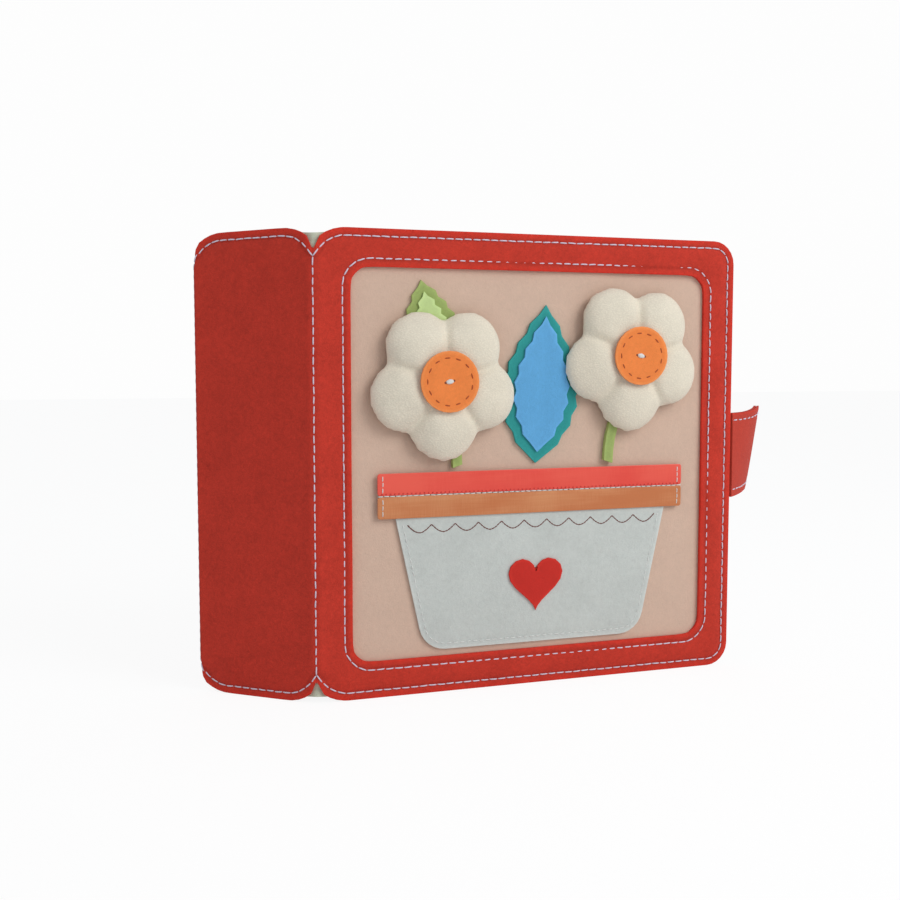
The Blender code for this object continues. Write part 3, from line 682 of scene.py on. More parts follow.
places = points_of(outer_felt)
for shifted in (places, starts, ends):
    round_window(shifted)
    up = shifted[:, 2].copy()
    shifted[:, 2] += notch_drop(gap_to_fold(shifted), up) - head_slope(shifted[:, 0], up)
move_points(outer_felt, places)
to_rim = distance_to(places, starts[~in_window], ends[~in_window])
to_window = distance_to(places, starts[in_window], ends[in_window])
keep_value(outer_felt, "edge_mm", np.minimum(to_rim, to_window) / MM)
keep_value(outer_felt, "rim", to_rim)
keep_value(outer_felt, "window", to_window)
thicken(outer_felt, FELT_THICKNESS, 0.35 * MM)
places = points_of(outer_felt)
rim, window = kept_value(outer_felt, "rim"), kept_value(outer_felt, "window")
fold_gap = gap_to_fold(places)
on_face = 1 - np.clip(places[:, 1] / FELT_THICKNESS, 0, 1)
places[:, 1] += rim_sink(rim) + on_face * (face_sink(rim) + face_sink(window) * 0.9)
places[:, 1] += on_face * groove(fold_gap, *FOLD_GROOVE)
calm = smooth_step(np.minimum(rim, fold_gap) / CALM_REACH)
places[:, 1] -= on_face * calm * (0.2 * MM + waves(places, 38 * MM, 0.55 * MM, 1))
print("outer felt is up to", round(-places[:, 1].min() / MM, 2), "mm proud")
move_points(outer_felt, places)

# %% [markdown]
# ## Folding
# The finished strip is folded by the rule above. A real strip of felt crosses both hinges, but a piece
# can bend between two bodies only. Here it is parted on the spine, a few millimetres before the back
# fold, and each part is folded on its own.

# %% Part the strip and fold each part


def part_at(piece, direction, place, name):
    """Parts a closed strip with a straight cut, closes both ends, and returns the two parts."""
    parts = []
    for end_name, clear_outer in ((f"{name}_front", False), (f"{name}_back", True)):
        part = piece.copy()
        part.data = piece.data.copy()
        part.name = part.data.name = end_name
        bpy.context.scene.collection.objects.link(part)
        in_edit_mode(part)
        bpy.ops.mesh.bisect(
            plane_co=direction * place,
            plane_no=direction,
            use_fill=True,
            clear_outer=clear_outer,
            clear_inner=not clear_outer,
            threshold=2e-6,
        )
        in_object_mode()
        parts.append(part)
    bpy.data.objects.remove(piece)
    return parts


def bend_at(piece):
    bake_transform(piece)


def smooth(piece, angle=35):
    only(piece)
    bpy.ops.object.shade_smooth_by_angle(angle=math.radians(angle))


def give(piece, material):
    piece.data.materials.clear()
    piece.data.materials.append(material)


outer_front, outer_back = part_at(outer_felt, RIGHT, STRIP_CUT, "outer_felt")
for piece in (outer_front, outer_back):
    fold_up(piece)
    smooth(piece)
    give(piece, RED_FELT)
bend_at(outer_front)
bend_at(outer_back)
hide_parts("front_outer_felt", "spine_outer_felt")
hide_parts("back_outer_felt")
print("outer felt:", len(outer_front.data.polygons), "and", len(outer_back.data.polygons), "faces")

# %% [markdown]
# ## The pale green lining
# The lining is a second strip inside the covers. It is sewn to the outer felt at every edge and along
# both folds, and rises over the boards between them. It is made as the outer felt was, with one
# difference: its face sinks at the edges and folds by the thickness of the board and felts below it.
# It fills the notch of the front fold, but at the sharp back fold it is cut down with the red felt.

# %% Lay out, shape and fold the lining
LINING_THICKNESS = 1.2 * MM
SEWN_DEPTH = 3.4 * MM
LINING_DIP, DIP_REACH = 1.1 * MM, 8 * MM
LINING_SLOPE = 0.6 * MM
LINING_RISE = (3 * MM, 5 * MM)
BACK_NEARNESS = 0.55
lining = flat_strip("lining", "lining", 1)
sides_outward(lining, 1)
starts, ends = open_edges(lining)
FACE_DEPTH = {
    "front": (PANELS["front"].inverted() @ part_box("front_lining")[1]).y,
    "spine": (PANELS["back"].inverted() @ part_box("back_lining")[0]).y,
}
lines_u = even_places(-SPINE_WIDTH - COVER_WIDTH, COVER_WIDTH, GRID) + [STRIP_CUT]
fold_lines = FOLD_LINES + [x * MM for x in (-6, -5, 5, 6)]
lines_u += [fold[0] + x for fold in FOLDS for x in fold_lines]
lines_u += rim_lines(starts.min(0)[0], ends.max(0)[0], RIM_OFFSETS)
cut_lines(lining, RIGHT, lines_u)
cut_lines(lining, UP, even_places(0, HEIGHT, GRID) + rim_lines(starts.min(0)[2], ends.max(0)[2], RIM_OFFSETS))
places = points_of(lining)
keep_value(lining, "rim", distance_to(places, starts, ends))
keep_value(lining, "edge_mm", kept_value(lining, "rim") / MM)
thicken(lining, LINING_THICKNESS, 0.3 * MM)
places = points_of(lining)
rim = kept_value(lining, "rim")
to_front, to_back = abs(places[:, 0]), abs(places[:, 0] + SPINE_WIDTH)
face_depth = np.where(places[:, 0] > 0, FACE_DEPTH["front"], FACE_DEPTH["spine"])
near = np.minimum(rim, np.minimum(to_front, to_back * BACK_NEARNESS))
rise = smooth_step((near - LINING_RISE[0]) / LINING_RISE[1])
on_face = 1 - np.clip(-places[:, 1] / LINING_THICKNESS, 0, 1)
depth = SEWN_DEPTH + (face_depth - SEWN_DEPTH) * rise
fold_groove = groove(np.minimum(to_front, to_back), *FOLD_GROOVE)
places[:, 1] += depth - on_face * (face_sink(rim) + fold_groove)
places[:, 1] += on_face * rise * waves(places, 45 * MM, 0.1 * MM, 2) - 0.1 * MM * rise
shoulder_drop = SHOULDER[1] - shoulder_height(to_back) + abs(notch_drop(to_back, 0))
shoulder_drop += LINING_SLOPE * smooth_step(1 - to_back / SHOULDER[0])
shoulder_drop += LINING_DIP * bell(to_front, DIP_REACH)
places[:, 2] = HEIGHT / 2 + (places[:, 2] - HEIGHT / 2) * (1 - shoulder_drop / (HEIGHT / 2))
places[:, 2] -= head_slope(places[:, 0], places[:, 2])
move_points(lining, places)
lining_front, lining_back = part_at(lining, RIGHT, STRIP_CUT, "lining")
for piece in (lining_front, lining_back):
    fold_up(piece)
    smooth(piece)
    give(piece, LINING_FELT)
bend_at(lining_front)
bend_at(lining_back)
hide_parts("front_lining", "spine_lining")
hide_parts("back_lining")
print("lining face depths in mm:", {key: round(value / MM, 2) for key, value in FACE_DEPTH.items()})

# %% [markdown]
# ## Flat felt pieces
# The window felt and everything sewn on it are cut from flat felt too. Each takes its outline from
# the CAD, a grid so that it isn't dead flat, a thickness and a rounded cut rim. What differs is how the
# face stands: a leaf is creased along its middle, a pot's face is pulled down where it is sewn.

# %% One tool for all flat pieces
FLAT_RIM_OFFSETS = [x * MM for x in (0.6, 1.4, 2.5, 3.6)]


def flat_piece(name, node, to_world, facing, thickness, grid, rim_round, relief, offsets=FLAT_RIM_OFFSETS):
    """relief(places, edge) says how far the face stands proud, and edge is the distance to the cut rim."""
    piece = cut_out(name, node, to_world, facing)
    depth = points_of(piece)[0, 1]
    starts, ends = open_edges(piece)
    low, high = np.minimum(starts, ends).min(0), np.maximum(starts, ends).max(0)
    cut_lines(piece, RIGHT, even_places(low[0], high[0], grid) + rim_lines(low[0], high[0], offsets))
    cut_lines(piece, UP, even_places(low[2], high[2], grid) + rim_lines(low[2], high[2], offsets))
    edge = distance_to(points_of(piece), starts, ends)
    keep_value(piece, "rim", edge)
    keep_value(piece, "edge_mm", edge / MM)
    thicken(piece, thickness, rim_round)
    places = points_of(piece)
    on_face = 1 - np.clip(abs(places[:, 1] - depth) / thickness, 0, 1)
    whole, face = relief(places, kept_value(piece, "rim"))
    places[:, 1] += facing * (whole + on_face * face)
    move_points(piece, places)
    piece.data.transform(to_world)
    smooth(piece)
    return piece


def settle(piece, body, node, material):
    give(piece, material)
    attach(piece, body)
    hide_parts(node)
    return piece


FRONT = PANELS["front"]


def front_piece(name, node, thickness, grid, rim_round, relief, material):
    piece = flat_piece(name, node, FRONT, -1, thickness * MM, grid * MM, rim_round * MM, relief)
    return settle(piece, "front_cover", node, material)


# %% The window felt


def window_relief(places, edge):
    return waves(places, 42 * MM, 0.2 * MM, 3) * smooth_step(edge / (12 * MM)), 0 * edge


window_felt = front_piece("peach_window", "window_felt", 1.2, 5, 0.2, window_relief, PEACH_FELT)
print("window felt has", len(window_felt.data.polygons), "faces")

# %% [markdown]
# The pot is white felt with a line of stitches 2.5 mm inside its edge. The heart is one thickness of
# red felt on it. The stems are narrow felt rolled tight, so their rims are rounded nearly to the middle.

# %% Pot, heart and stems
POT_SEAM = 2.5 * MM
POT_CUT, POT_GROOVE, POT_SWELL = (0.15, 0.9), (0.2, 0.8), (0.12, 8)
HEART_SWELL = (0.35, 6)


def pot_relief(places, edge):
    quilted = swell(edge - 3 * MM, *POT_SWELL)
    return 0 * edge, quilted - groove(edge, *POT_CUT) - groove(edge - POT_SEAM, *POT_GROOVE)


def heart_relief(places, edge):
    return 0 * edge, swell(edge, *HEART_SWELL) - 0.1 * MM


def stem_relief(places, edge):
    return 0 * edge, waves(places, 6 * MM, 0.15 * MM, 5)


pot = front_piece("pot", "pot_felt", 1.2, 3, 0.3, pot_relief, WHITE_FELT)
ribbon_low, ribbon_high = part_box("ribbon_coral")
places = points_of(pot)
above = np.maximum(0, places[:, 2] - ribbon_low.z)
tuck = 1 - (ribbon_high.z - 1.5 * MM - ribbon_low.z) / (places[:, 2].max() - ribbon_low.z)
places[:, 2] -= above * tuck
move_points(pot, places)
front_piece("heart", "pot_heart", 0.8, 2, 0.3, heart_relief, HEART_FELT)
for side in ("left", "right"):
    front_piece(f"stem_{side}_roll", f"stem_{side}", 2.3, 2, 0.95, stem_relief, OLIVE_FELT)
print("pot, heart and stems made")

# %% [markdown]
# The leaves are two layers each. A leaf of felt is sewn along its middle and curls up a little at the
# sides, so its face has a shallow crease. The distance to the leaf's own middle line gives that crease.

# %% Leaves


def leaf_axis(node):
    """The base and tip of a leaf: the lowest point of its outline and the point furthest from it."""
    corners = [vertex.co for vertex in frame["nodes"][node].data.vertices]
    base = min(corners, key=lambda p: p.z)
    tip = max(corners, key=lambda p: (p - base).length)
    return FRONT.inverted() @ base, FRONT.inverted() @ tip


SMALL_CUT = (0.12, 0.8)
LEAF_CREASE, LEAF_SWELL = (0.22, 0.9), (0.3, 9)


def leaf_piece(name, node, thickness, material):
    base, tip = leaf_axis(node)
    run = Vector((tip.x - base.x, 0, tip.z - base.z)).normalized()
    aside = np.array((run.z, 0, -run.x))

    def relief(places, edge):
        from_middle = abs((places - np.array(base)) @ aside)
        crease = groove(from_middle, *LEAF_CREASE)
        return 0 * edge, swell(from_middle, *LEAF_SWELL) - crease - groove(edge, *SMALL_CUT) - 0.05 * MM

    return front_piece(name, node, thickness, 2, 0.22, relief, material)


leaf_piece("large_leaf_under", "leaf_teal", 1.2, TEAL_FELT)
leaf_piece("large_leaf_over", "leaf_blue", 0.8, BLUE_FELT)
leaf_piece("small_leaf_under", "leaf_olive", 1.2, OLIVE_FELT)
leaf_piece("small_leaf_over", "leaf_lime", 0.8, LIME_FELT)
print("leaves made")

# %% [markdown]
# ## Satin ribbons
# Satin is woven so that long shiny threads lie on top. Seen close, it has fine ribs across its width,
# and its light slides along it as it waves. A stretched noise gives the ribs, and the shader is smoother
# than felt. The ribbon itself waves a little between its stitches.

# %% Satin and ribbons
inputs = [("Colour", "colour", GREY), ("Light colour", "colour", GREY)]
SATIN, w, place, given, out = new_group("satin weave", inputs)
ribs = w.noise(w.stretched(place, (4200, 4200, 120)), 1, 2, 0.5)
slubs = w.noise(w.stretched(place, (60, 60, 1500)), 1, 2, 0.6)
drift = w.noise(w.stretched(place, (22, 22, 60)), 1, 2, 0.5)
weave = w.math("ADD", w.math("MULTIPLY", ribs, 0.6), w.math("MULTIPLY", slubs, 0.4))
# painted highlight: slow patches of the lighter colour stand for light sliding along the satin
shine = w.remap(w.math("ADD", w.math("MULTIPLY", drift, 0.7), w.math("MULTIPLY", weave, 0.3)), 0.38, 0.62)
w.link(w.mix(shine, given["Colour"], given["Light colour"]), out["Colour"])
w.link(w.remap(weave, 0.3, 0.7, 0.34, 0.5), out["Roughness"])
w.link(weave, out["Height"])


def satin_material(name, colour, light_colour):
    values = {"Colour": colour_of(*colour), "Light colour": colour_of(*light_colour)}
    gloss = {"Specular IOR Level": 0.5, "Sheen Weight": 0.1, "Anisotropic": 0.4}
    return new_material(name, SATIN, values, (0.3, 0.15 * MM), gloss)


CORAL_SATIN = satin_material("coral satin", (232, 66, 52), (240, 88, 70))
TAN_SATIN = satin_material("tan satin", (198, 114, 62), (214, 144, 94))


RIBBON_SWELL = (0.12, 3)


def ribbon_relief(places, edge):
    wave = waves(places * (1, 1, 0.3), 14 * MM, 0.22 * MM, 7)
    return 0 * edge, wave * smooth_step(edge / (2 * MM)) + swell(edge, *RIBBON_SWELL) - 0.1 * MM


front_piece("coral_ribbon", "ribbon_coral", 0.8, 2, 0.2, ribbon_relief, CORAL_SATIN)
front_piece("tan_ribbon", "ribbon_tan", 0.8, 2, 0.2, ribbon_relief, TAN_SATIN)
print("ribbons made")

# %% [markdown]
# ## Puffed blossoms
# Each blossom is a bag of cream terry, stuffed with wadding and closed by a flat backing. Its five round
# petals swell, and the cloth is drawn in between them and under the disc in the middle. A bag is only
# right when its skin has been blown up like one, so the bag starts as flattened balls that are fused by
# a voxel remesh, and the cloth solver then inflates it for 20 frames. The creases, which the remesh
# would have erased, are drawn in afterwards.

# %% The bag before stuffing
terry_low, terry_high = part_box("blossom_left_terry")
backing_low, backing_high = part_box("blossom_left_backing")
BLOSSOM_BACK = backing_high.y
PUFF_RADIUS = (terry_high.x - terry_low.x) / 2 / (0.5 + 0.5 * math.cos(math.radians(18)))
PUFF_TOP = BLOSSOM_BACK - terry_low.y
LEFT_CENTRE = Vector(((terry_low.x + terry_high.x) / 2, BLOSSOM_BACK, terry_low.z + PUFF_RADIUS))
right_low, right_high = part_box("blossom_right_terry")
RIGHT_CENTRE = Vector(((right_low.x + right_high.x) / 2, BLOSSOM_BACK, right_low.z + PUFF_RADIUS))
PETAL_ANGLES = [math.radians(72 * index - 90) for index in range(5)]


def flattened_ball(place, radius, rise):
    bpy.ops.mesh.primitive_uv_sphere_add(segments=32, ring_count=20, radius=radius, location=place)
    bpy.ops.transform.resize(value=(1, rise / radius, 1), center_override=tuple(place))


def blossom_bag(name, skin):
    """Five petals round a middle, as flattened balls in edit mode. skin makes it smaller all round."""
    ball = bpy.ops.mesh.primitive_uv_sphere_add
    bag = new_shape(name, ball, segments=32, ring_count=20, radius=PUFF_RADIUS / 2 - skin)
    bpy.ops.object.mode_set(mode="EDIT")
    bpy.ops.transform.resize(value=(1, (PUFF_TOP - skin) / (PUFF_RADIUS / 2 - skin), 1))
    for angle in PETAL_ANGLES:
        bpy.ops.mesh.select_all(action="DESELECT")
        place = Vector((math.cos(angle), 0, math.sin(angle))) * PUFF_RADIUS / 2
        flattened_ball(place, PUFF_RADIUS / 2 - skin, (PUFF_TOP - skin) * 0.86)
    in_object_mode()
    return bag


def fuse(bag, voxel):
    remesh = bag.modifiers.new("fuse", "REMESH")
    remesh.mode = "VOXEL"
    remesh.voxel_size = voxel
    remesh.use_smooth_shade = True
    apply_modifiers(bag)


BAG_VOXEL = 1.3 * MM
bag = blossom_bag("blossom_bag", 0.9 * MM)
fuse(bag, BAG_VOXEL)
places = points_of(bag)
places[:, 1] = np.minimum(places[:, 1], 0)
move_points(bag, places)
fuse(bag, BAG_VOXEL)
print("bag:", len(bag.data.vertices), "points, blossom radius", round(PUFF_RADIUS / MM, 1), "mm")

# %% Stuff it


def inflate(piece, pressure, frames, cap):
    """Blows a closed cloth up with no gravity, and holds back any point that moves too far."""
    before = points_of(piece)
    cloth = piece.modifiers.new("cloth", "CLOTH")
    cloth.settings.use_pressure = True
    cloth.settings.uniform_pressure_force = pressure
    cloth.settings.quality = 5
    cloth.settings.mass = 0.15
    cloth.settings.effector_weights.gravity = 0
    cloth.point_cache.frame_start = 1
    cloth.point_cache.frame_end = frames
    for number in range(1, frames + 1):
        bpy.context.scene.frame_set(number)
    apply_modifiers(piece)
    bpy.context.scene.frame_set(1)
    moves = points_of(piece) - before
    lengths = np.linalg.norm(moves, axis=1)
    moves *= np.minimum(1, cap / np.maximum(lengths, 1e-9))[:, None]
    move_points(piece, before + moves)
    return float(lengths.max())


longest = inflate(bag, 4, 20, 1.8 * MM)
print("the longest move was", round(longest / MM, 2), "mm before the cap")
soften = bag.modifiers.new("soften", "SMOOTH")
soften.factor = 0.5
soften.iterations = 6
finer = bag.modifiers.new("finer", "SUBSURF")
finer.levels = finer.render_levels = 1
apply_modifiers(bag)
print("stuffed bag:", len(bag.data.vertices), "points")

# %% [markdown]
# The petals meet in creases that run out from the middle, and the disc's stitches pull the middle down.
# Both are moves of the skin along the blossom's depth, deepest on the crease line, and both fade out
# toward the back, so that the bag stays closed and flat behind.

# %% Draw in the creases and the middle
DRAWN_GROWTH = 1.05
FLAT_BACK = 0.45 * MM


def crease_distance(places):
    """How far each point is from the nearest line between two petals, and from the middle."""
    reach = np.hypot(places[:, 0], places[:, 2])
    angle = np.arctan2(places[:, 2], places[:, 0])
    nearest = np.full(len(places), 1.0)
    for petal in PETAL_ANGLES:
        between = petal + math.radians(36)
        turn = np.abs((angle - between + math.pi) % (2 * math.pi) - math.pi)
        nearest = np.minimum(nearest, np.where(turn < 1.2, reach * np.sin(np.minimum(turn, 1.5)), 1.0))
    return nearest, reach


def draw_in(piece, crease, tuft):
    places = points_of(piece)
    between, reach = crease_distance(places)
    forward = np.clip(-places[:, 1] / PUFF_TOP, 0, 1)
    along = smooth_step((reach - 6 * MM) / (8 * MM))
    pull = crease * bell(between, 1.7 * MM) * along + tuft * bell(reach, 8.5 * MM)
    places[:, 1] += pull * forward
    places[:, 1] -= forward * waves(places, 11 * MM, 0.45 * MM, 11)
    places[:, 0] += waves(places, 16 * MM, 0.5 * MM, 12)
    places[:, 2] += waves(places, 16 * MM, 0.5 * MM, 13)
    places[:, 0] *= DRAWN_GROWTH
    places[:, 2] *= DRAWN_GROWTH
    places[:, 1] = np.where(places[:, 1] > -FLAT_BACK, 0, places[:, 1])
    move_points(piece, places)


draw_in(bag, 1.6 * MM, 2.0 * MM)
bag_low, bag_high = points_of(bag).min(0), points_of(bag).max(0)
print("bag reaches", [round(float(x) / MM, 1) for x in (*bag_low, *bag_high)])

# %% [markdown]
# ## Terry
# Terry is knitted with small loops that lie in slanting rows. The loops are cells of a Voronoi texture,
# squeezed so that they line up on the slant, and a finer noise breaks them up. The colour is darker
# between the loops, where less light gets in.

# %% Terry material
inputs = [("Colour", "colour", GREY), ("Loops per metre", "value", 1100)]
TERRY, w, place, given, out = new_group("terry loops", inputs)
slant = w.stretched(place, (1, 1, 1.7), (0, math.radians(38), 0))
loops = w.node("ShaderNodeTexVoronoi", feature="SMOOTH_F1")
w.link(slant, loops.inputs["Vector"])
w.fill(loops.inputs["Scale"], given["Loops per metre"])
loops.inputs["Smoothness"].default_value = 0.6
loop_height = w.remap(loops.outputs["Distance"], 0.0, 0.75, 1.0, 0.0)
fluff = w.noise(place, 2600, 4, 0.7)
pile = w.math("ADD", w.math("MULTIPLY", loop_height, 0.65), w.math("MULTIPLY", fluff, 0.35))
clouds = w.noise(place, 95, 3, 0.55)
lightness = w.math("ADD", w.remap(pile, 0.25, 0.8, 0.93, 1.03), w.remap(clouds, 0.3, 0.7, -0.035, 0.035))
w.link(w.shaded(given["Colour"], lightness), out["Colour"])
w.link(w.remap(pile, 0.3, 0.7, 0.92, 1.0), out["Roughness"])
w.link(pile, out["Height"])
CREAM_TERRY = new_material(
    "cream terry",
    TERRY,
    {"Colour": colour_of(238, 229, 209)},
    (0.45, 0.35 * MM),
    {"Sheen Weight": 0.2, "Sheen Roughness": 0.5, "Specular IOR Level": 0.1},
)
WADDING = new_material(
    "white wadding",
    TERRY,
    {"Colour": colour_of(232, 232, 230), "Loops per metre": 260},
    (0.8, 1.2 * MM),
    {"Sheen Weight": 0.2, "Specular IOR Level": 0.05},
)

# %% Terry, wadding and backing of each blossom


def copy_of(piece, name):
    made = piece.copy()
    made.data = piece.data.copy()
    made.name = made.data.name = name
    bpy.context.scene.collection.objects.link(made)
    return made


def between_depths(piece, near, far):
    """Keeps what lies between two depths in front of the blossom's back, and closes the cuts."""
    in_edit_mode(piece, "EDGE")
    if near:
        bpy.ops.mesh.bisect(plane_co=(0, -near, 0), plane_no=(0, 1, 0), clear_outer=True)
    bpy.ops.mesh.select_all(action="SELECT")
    if far:
        bpy.ops.mesh.bisect(plane_co=(0, -far, 0), plane_no=(0, 1, 0), clear_inner=True)
    bpy.ops.mesh.select_all(action="SELECT")
    bpy.ops.mesh.fill_holes(sides=0)
    bpy.ops.mesh.select_all(action="SELECT")
    bpy.ops.mesh.normals_make_consistent(inside=False)
    in_object_mode()


BACKING_THICKNESS = backing_high.y - backing_low.y
for side, centre, turn in (("left", LEFT_CENTRE, 0), ("right", RIGHT_CENTRE, math.radians(4))):
    stand = Matrix.Translation(centre) @ Matrix.Rotation(turn, 4, "Y")
    skin = copy_of(bag, f"blossom_{side}_puff")
    between_depths(skin, BACKING_THICKNESS * 0.8, None)
    stuffing = copy_of(bag, f"blossom_{side}_stuffing")
    stuffing.data.transform(Matrix.Diagonal((0.94, 0.84, 0.94, 1)))
    between_depths(stuffing, BACKING_THICKNESS + 0.3 * MM, None)
    backing = copy_of(bag, f"blossom_{side}_back")
    between_depths(backing, None, BACKING_THICKNESS * 0.8)
    for piece, node, material, slot in (
        (skin, "terry", CREAM_TERRY, "cream_terry"),
        (stuffing, "wadding", WADDING, "white_wadding"),
        (backing, "backing", CREAM_TERRY, "cream_terry"),
    ):
        piece.data.transform(stand)
        smooth(piece, 60)
        give(piece, material)
        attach(piece, f"blossom_{side}")
        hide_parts(f"blossom_{side}_{node}")
bpy.data.objects.remove(bag)
print("blossoms stuffed")

# %% [markdown]
# ## The discs
# Each disc is thin orange felt. The thread in its middle pulls it down with the cushion under it, so it
# is a shallow dish and not a flat plate. The dish is a round grid whose rings sink toward the middle.

# %% Discs
DISC_SINK = 1.0 * MM
DISH_WIDTH = 5.5 * MM
DASH_INSET = 3.0 * MM
DISC_CUT, DISC_GROOVE = (0.12, 0.7), (0.14, 0.6)


def disc_relief(centre):
    def relief(places, edge):
        reach = np.hypot(places[:, 0] - centre.x, places[:, 2] - centre.z)
        sink = DISC_SINK * bell(reach, DISH_WIDTH)
        return -sink, -groove(edge, *DISC_CUT) - groove(edge - DASH_INSET, *DISC_GROOVE)

    return relief


for side in ("left", "right"):
    node = f"blossom_{side}_disc"
    low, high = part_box(node)
    relief = disc_relief(FRONT.inverted() @ ((low + high) / 2))
    disc = flat_piece(f"{node}_felt", node, FRONT, -1, high.y - low.y, 1.5 * MM, 0.25 * MM, relief)
    settle(disc, f"blossom_{side}", node, ORANGE_FELT)
print("discs made")

# %% [markdown]
# ## Thread
# Every seam of the book shows its stitches: short raised threads, a little uneven, with their ends drawn
# into the felt. A dashed line could be painted on, but it would catch no light and cast no shadow. So
# one stitch is modelled, and rows of copies follow the seams. A row knows the way out of the felt at
# each place, so the same tool sews flat panels, folds and the strap.

# %% One stitch
STITCH_LENGTH = 3.8 * MM


def model_stitch(name, length, radius, rise):
    """A thread with six sides that rises from the felt and dips back into it."""
    rod = bpy.ops.mesh.primitive_cylinder_add
    stitch = new_shape(name, rod, vertices=6, radius=radius, depth=length, rotation=(0, math.pi / 2, 0))
    bpy.ops.object.transform_apply(location=False, rotation=True, scale=False)
    cut_lines(stitch, RIGHT, [length * share for share in (-0.42, -0.26, 0, 0.26, 0.42)])
    places = points_of(stitch)
    share = places[:, 0] / (length / 2)
    slim = 1 - 0.55 * share**6
    places[:, 1] *= slim
    places[:, 2] = places[:, 2] * slim * 0.85 + rise * (1 - share**2) - radius * 0.9 * share**4
    move_points(stitch, places)
    keep_value(stitch, "along", share)
    smooth(stitch, 60)
    return stitch


def sew(name, rows, stitch, pitch, material, seed, uneven=1.0):
    """Copies of a stitch along rows. A row is its places, the ways out of the felt, and whether it closes."""
    chance = random.Random(seed)
    master = points_of(stitch)
    faces = [list(face.vertices) for face in stitch.data.polygons]
    all_places, all_faces = [], []
    for places, outs, closed in rows:
        places = [Vector(p) for p in places]
        outs = [Vector(o) for o in outs]
        if closed:
            places.append(places[0])
            outs.append(outs[0])
        lengths = [0.0]
        for a, b in zip(places, places[1:]):
            lengths.append(lengths[-1] + (b - a).length)
        count = max(1, round(lengths[-1] / pitch))

        def at(distance):
            distance = max(0.0, min(lengths[-1], distance))
            index = max(0, min(len(places) - 2, int(np.searchsorted(lengths, distance)) - 1))
            share = (distance - lengths[index]) / max(1e-9, lengths[index + 1] - lengths[index])
            return places[index].lerp(places[index + 1], share), outs[index].lerp(outs[index + 1], share)

        for number in range(count):
            middle = (number + 0.5) * lengths[-1] / count
            here, out_way = at(middle)
            run = at(middle + pitch * 0.35)[0] - at(middle - pitch * 0.35)[0]
            out_way = out_way.normalized()
            run = (run - out_way * run.dot(out_way)).normalized()
            slant = math.radians(chance.uniform(-3.5, 3.5) * uneven)
            run = Matrix.Rotation(slant, 3, out_way) @ run
            aside = out_way.cross(run)
            here = here + aside * chance.uniform(-0.07, 0.07) * MM * uneven
            size = 1 + chance.uniform(-0.07, 0.05) * uneven
            turn = np.array((run * size, aside, out_way))
            start = len(master) * len(all_places)
            all_places.append(master @ turn + np.array(here))
            all_faces += [[start + index for index in face] for face in faces]
    mesh = bpy.data.meshes.new(name)
    mesh.from_pydata(np.concatenate(all_places).tolist(), [], all_faces)
    along = mesh.attributes.new("along", "FLOAT", "POINT")
    along.data.foreach_set("value", np.tile(kept_value(stitch, "along"), len(all_places)))
    made = bpy.data.objects.new(name, mesh)
    bpy.context.scene.collection.objects.link(made)
    give(made, material)
    smooth(made, 60)
    return made


SEAM_STITCH = model_stitch("seam_stitch", STITCH_LENGTH, 0.29 * MM, 0.2 * MM)
SMALL_STITCH = model_stitch("small_stitch", 2.4 * MM, 0.22 * MM, 0.14 * MM)
DASH_STITCH = model_stitch("dash_stitch", 2.5 * MM, 0.26 * MM, 0.12 * MM)
PICOT = model_stitch("picot", 0.9 * MM, 0.3 * MM, 0.1 * MM)
print("a stitch has", len(SEAM_STITCH.data.polygons), "faces")

# %% [markdown]
# Sewing thread is two or three plies twisted together. Each stitch keeps how far along it a point is,
# so the material can draw the twist as slanting ridges, in the bump and as painted shade in the colour.
# Both ends of a stitch, where it goes into the felt, get painted shade too. A little gloss makes the thread
# look spun.

# %% Thread material
inputs = [("Colour", "colour", GREY), ("End shade", "value", 0.25)]
THREAD, w, place, given, out = new_group("twisted thread", inputs)
along = w.node("ShaderNodeAttribute", attribute_name="along").outputs["Fac"]
fuzz = w.noise(place, 2500, 2, 0.6)
# painted shade: the colour is lighter on the twist's ridges and darker between them
twist = w.math("SINE", w.math("ADD", w.math("MULTIPLY", along, 26.0), w.math("MULTIPLY", fuzz, 3.0)))
# painted shade at both ends of a stitch, where it dips into the felt
ends_shade = w.math("POWER", w.math("ABSOLUTE", along), 6)
ends_shade = w.math("MULTIPLY", ends_shade, given["End shade"])
light = w.math("SUBTRACT", w.remap(twist, -1, 1, 0.9, 1.04), ends_shade)
w.link(w.shaded(given["Colour"], light), out["Colour"])
w.link(w.remap(twist, -1, 1, 0.5, 0.62), out["Roughness"])
w.link(twist, out["Height"])


def thread_material(name, colour):
    gloss = {"Sheen Weight": 0.1, "Specular IOR Level": 0.35}
    return new_material(name, THREAD, {"Colour": colour_of(*colour)}, (0.35, 0.12 * MM), gloss)


LILAC_THREAD = thread_material("lilac white thread", (228, 216, 232))
WHITE_THREAD = thread_material("white thread", (232, 234, 230))
DARK_ORANGE_THREAD = thread_material("dark orange thread", (176, 76, 28))
BROWN_THREAD = thread_material("brown thread", (112, 62, 52))
CORAL_THREAD = thread_material("coral thread", (226, 70, 62))

# %% [markdown]
# ## The seams of the covers
# One seam runs round each panel, 3.3 mm inside the edge. At the top and bottom of a fold it follows the
# rounded shoulders down to the fold, and one more row runs along the fold itself. The window has its
# own seam round it. The paths are drawn on the flat strip and folded with the same rule as the felt.

# %% Seam paths on the flat strip
CORNER = 10.5 * MM
JUNCTION = SHOULDER[1] + 3.9 * MM
SHOULDER_POWER = 2.3


def corner_arc(centre, radii, start, end, steps=8):
    angles = [math.radians(start + (end - start) * step / steps) for step in range(steps + 1)]
    return [(centre[0] + radii[0] * math.cos(a), centre[1] + radii[1] * math.sin(a)) for a in angles]


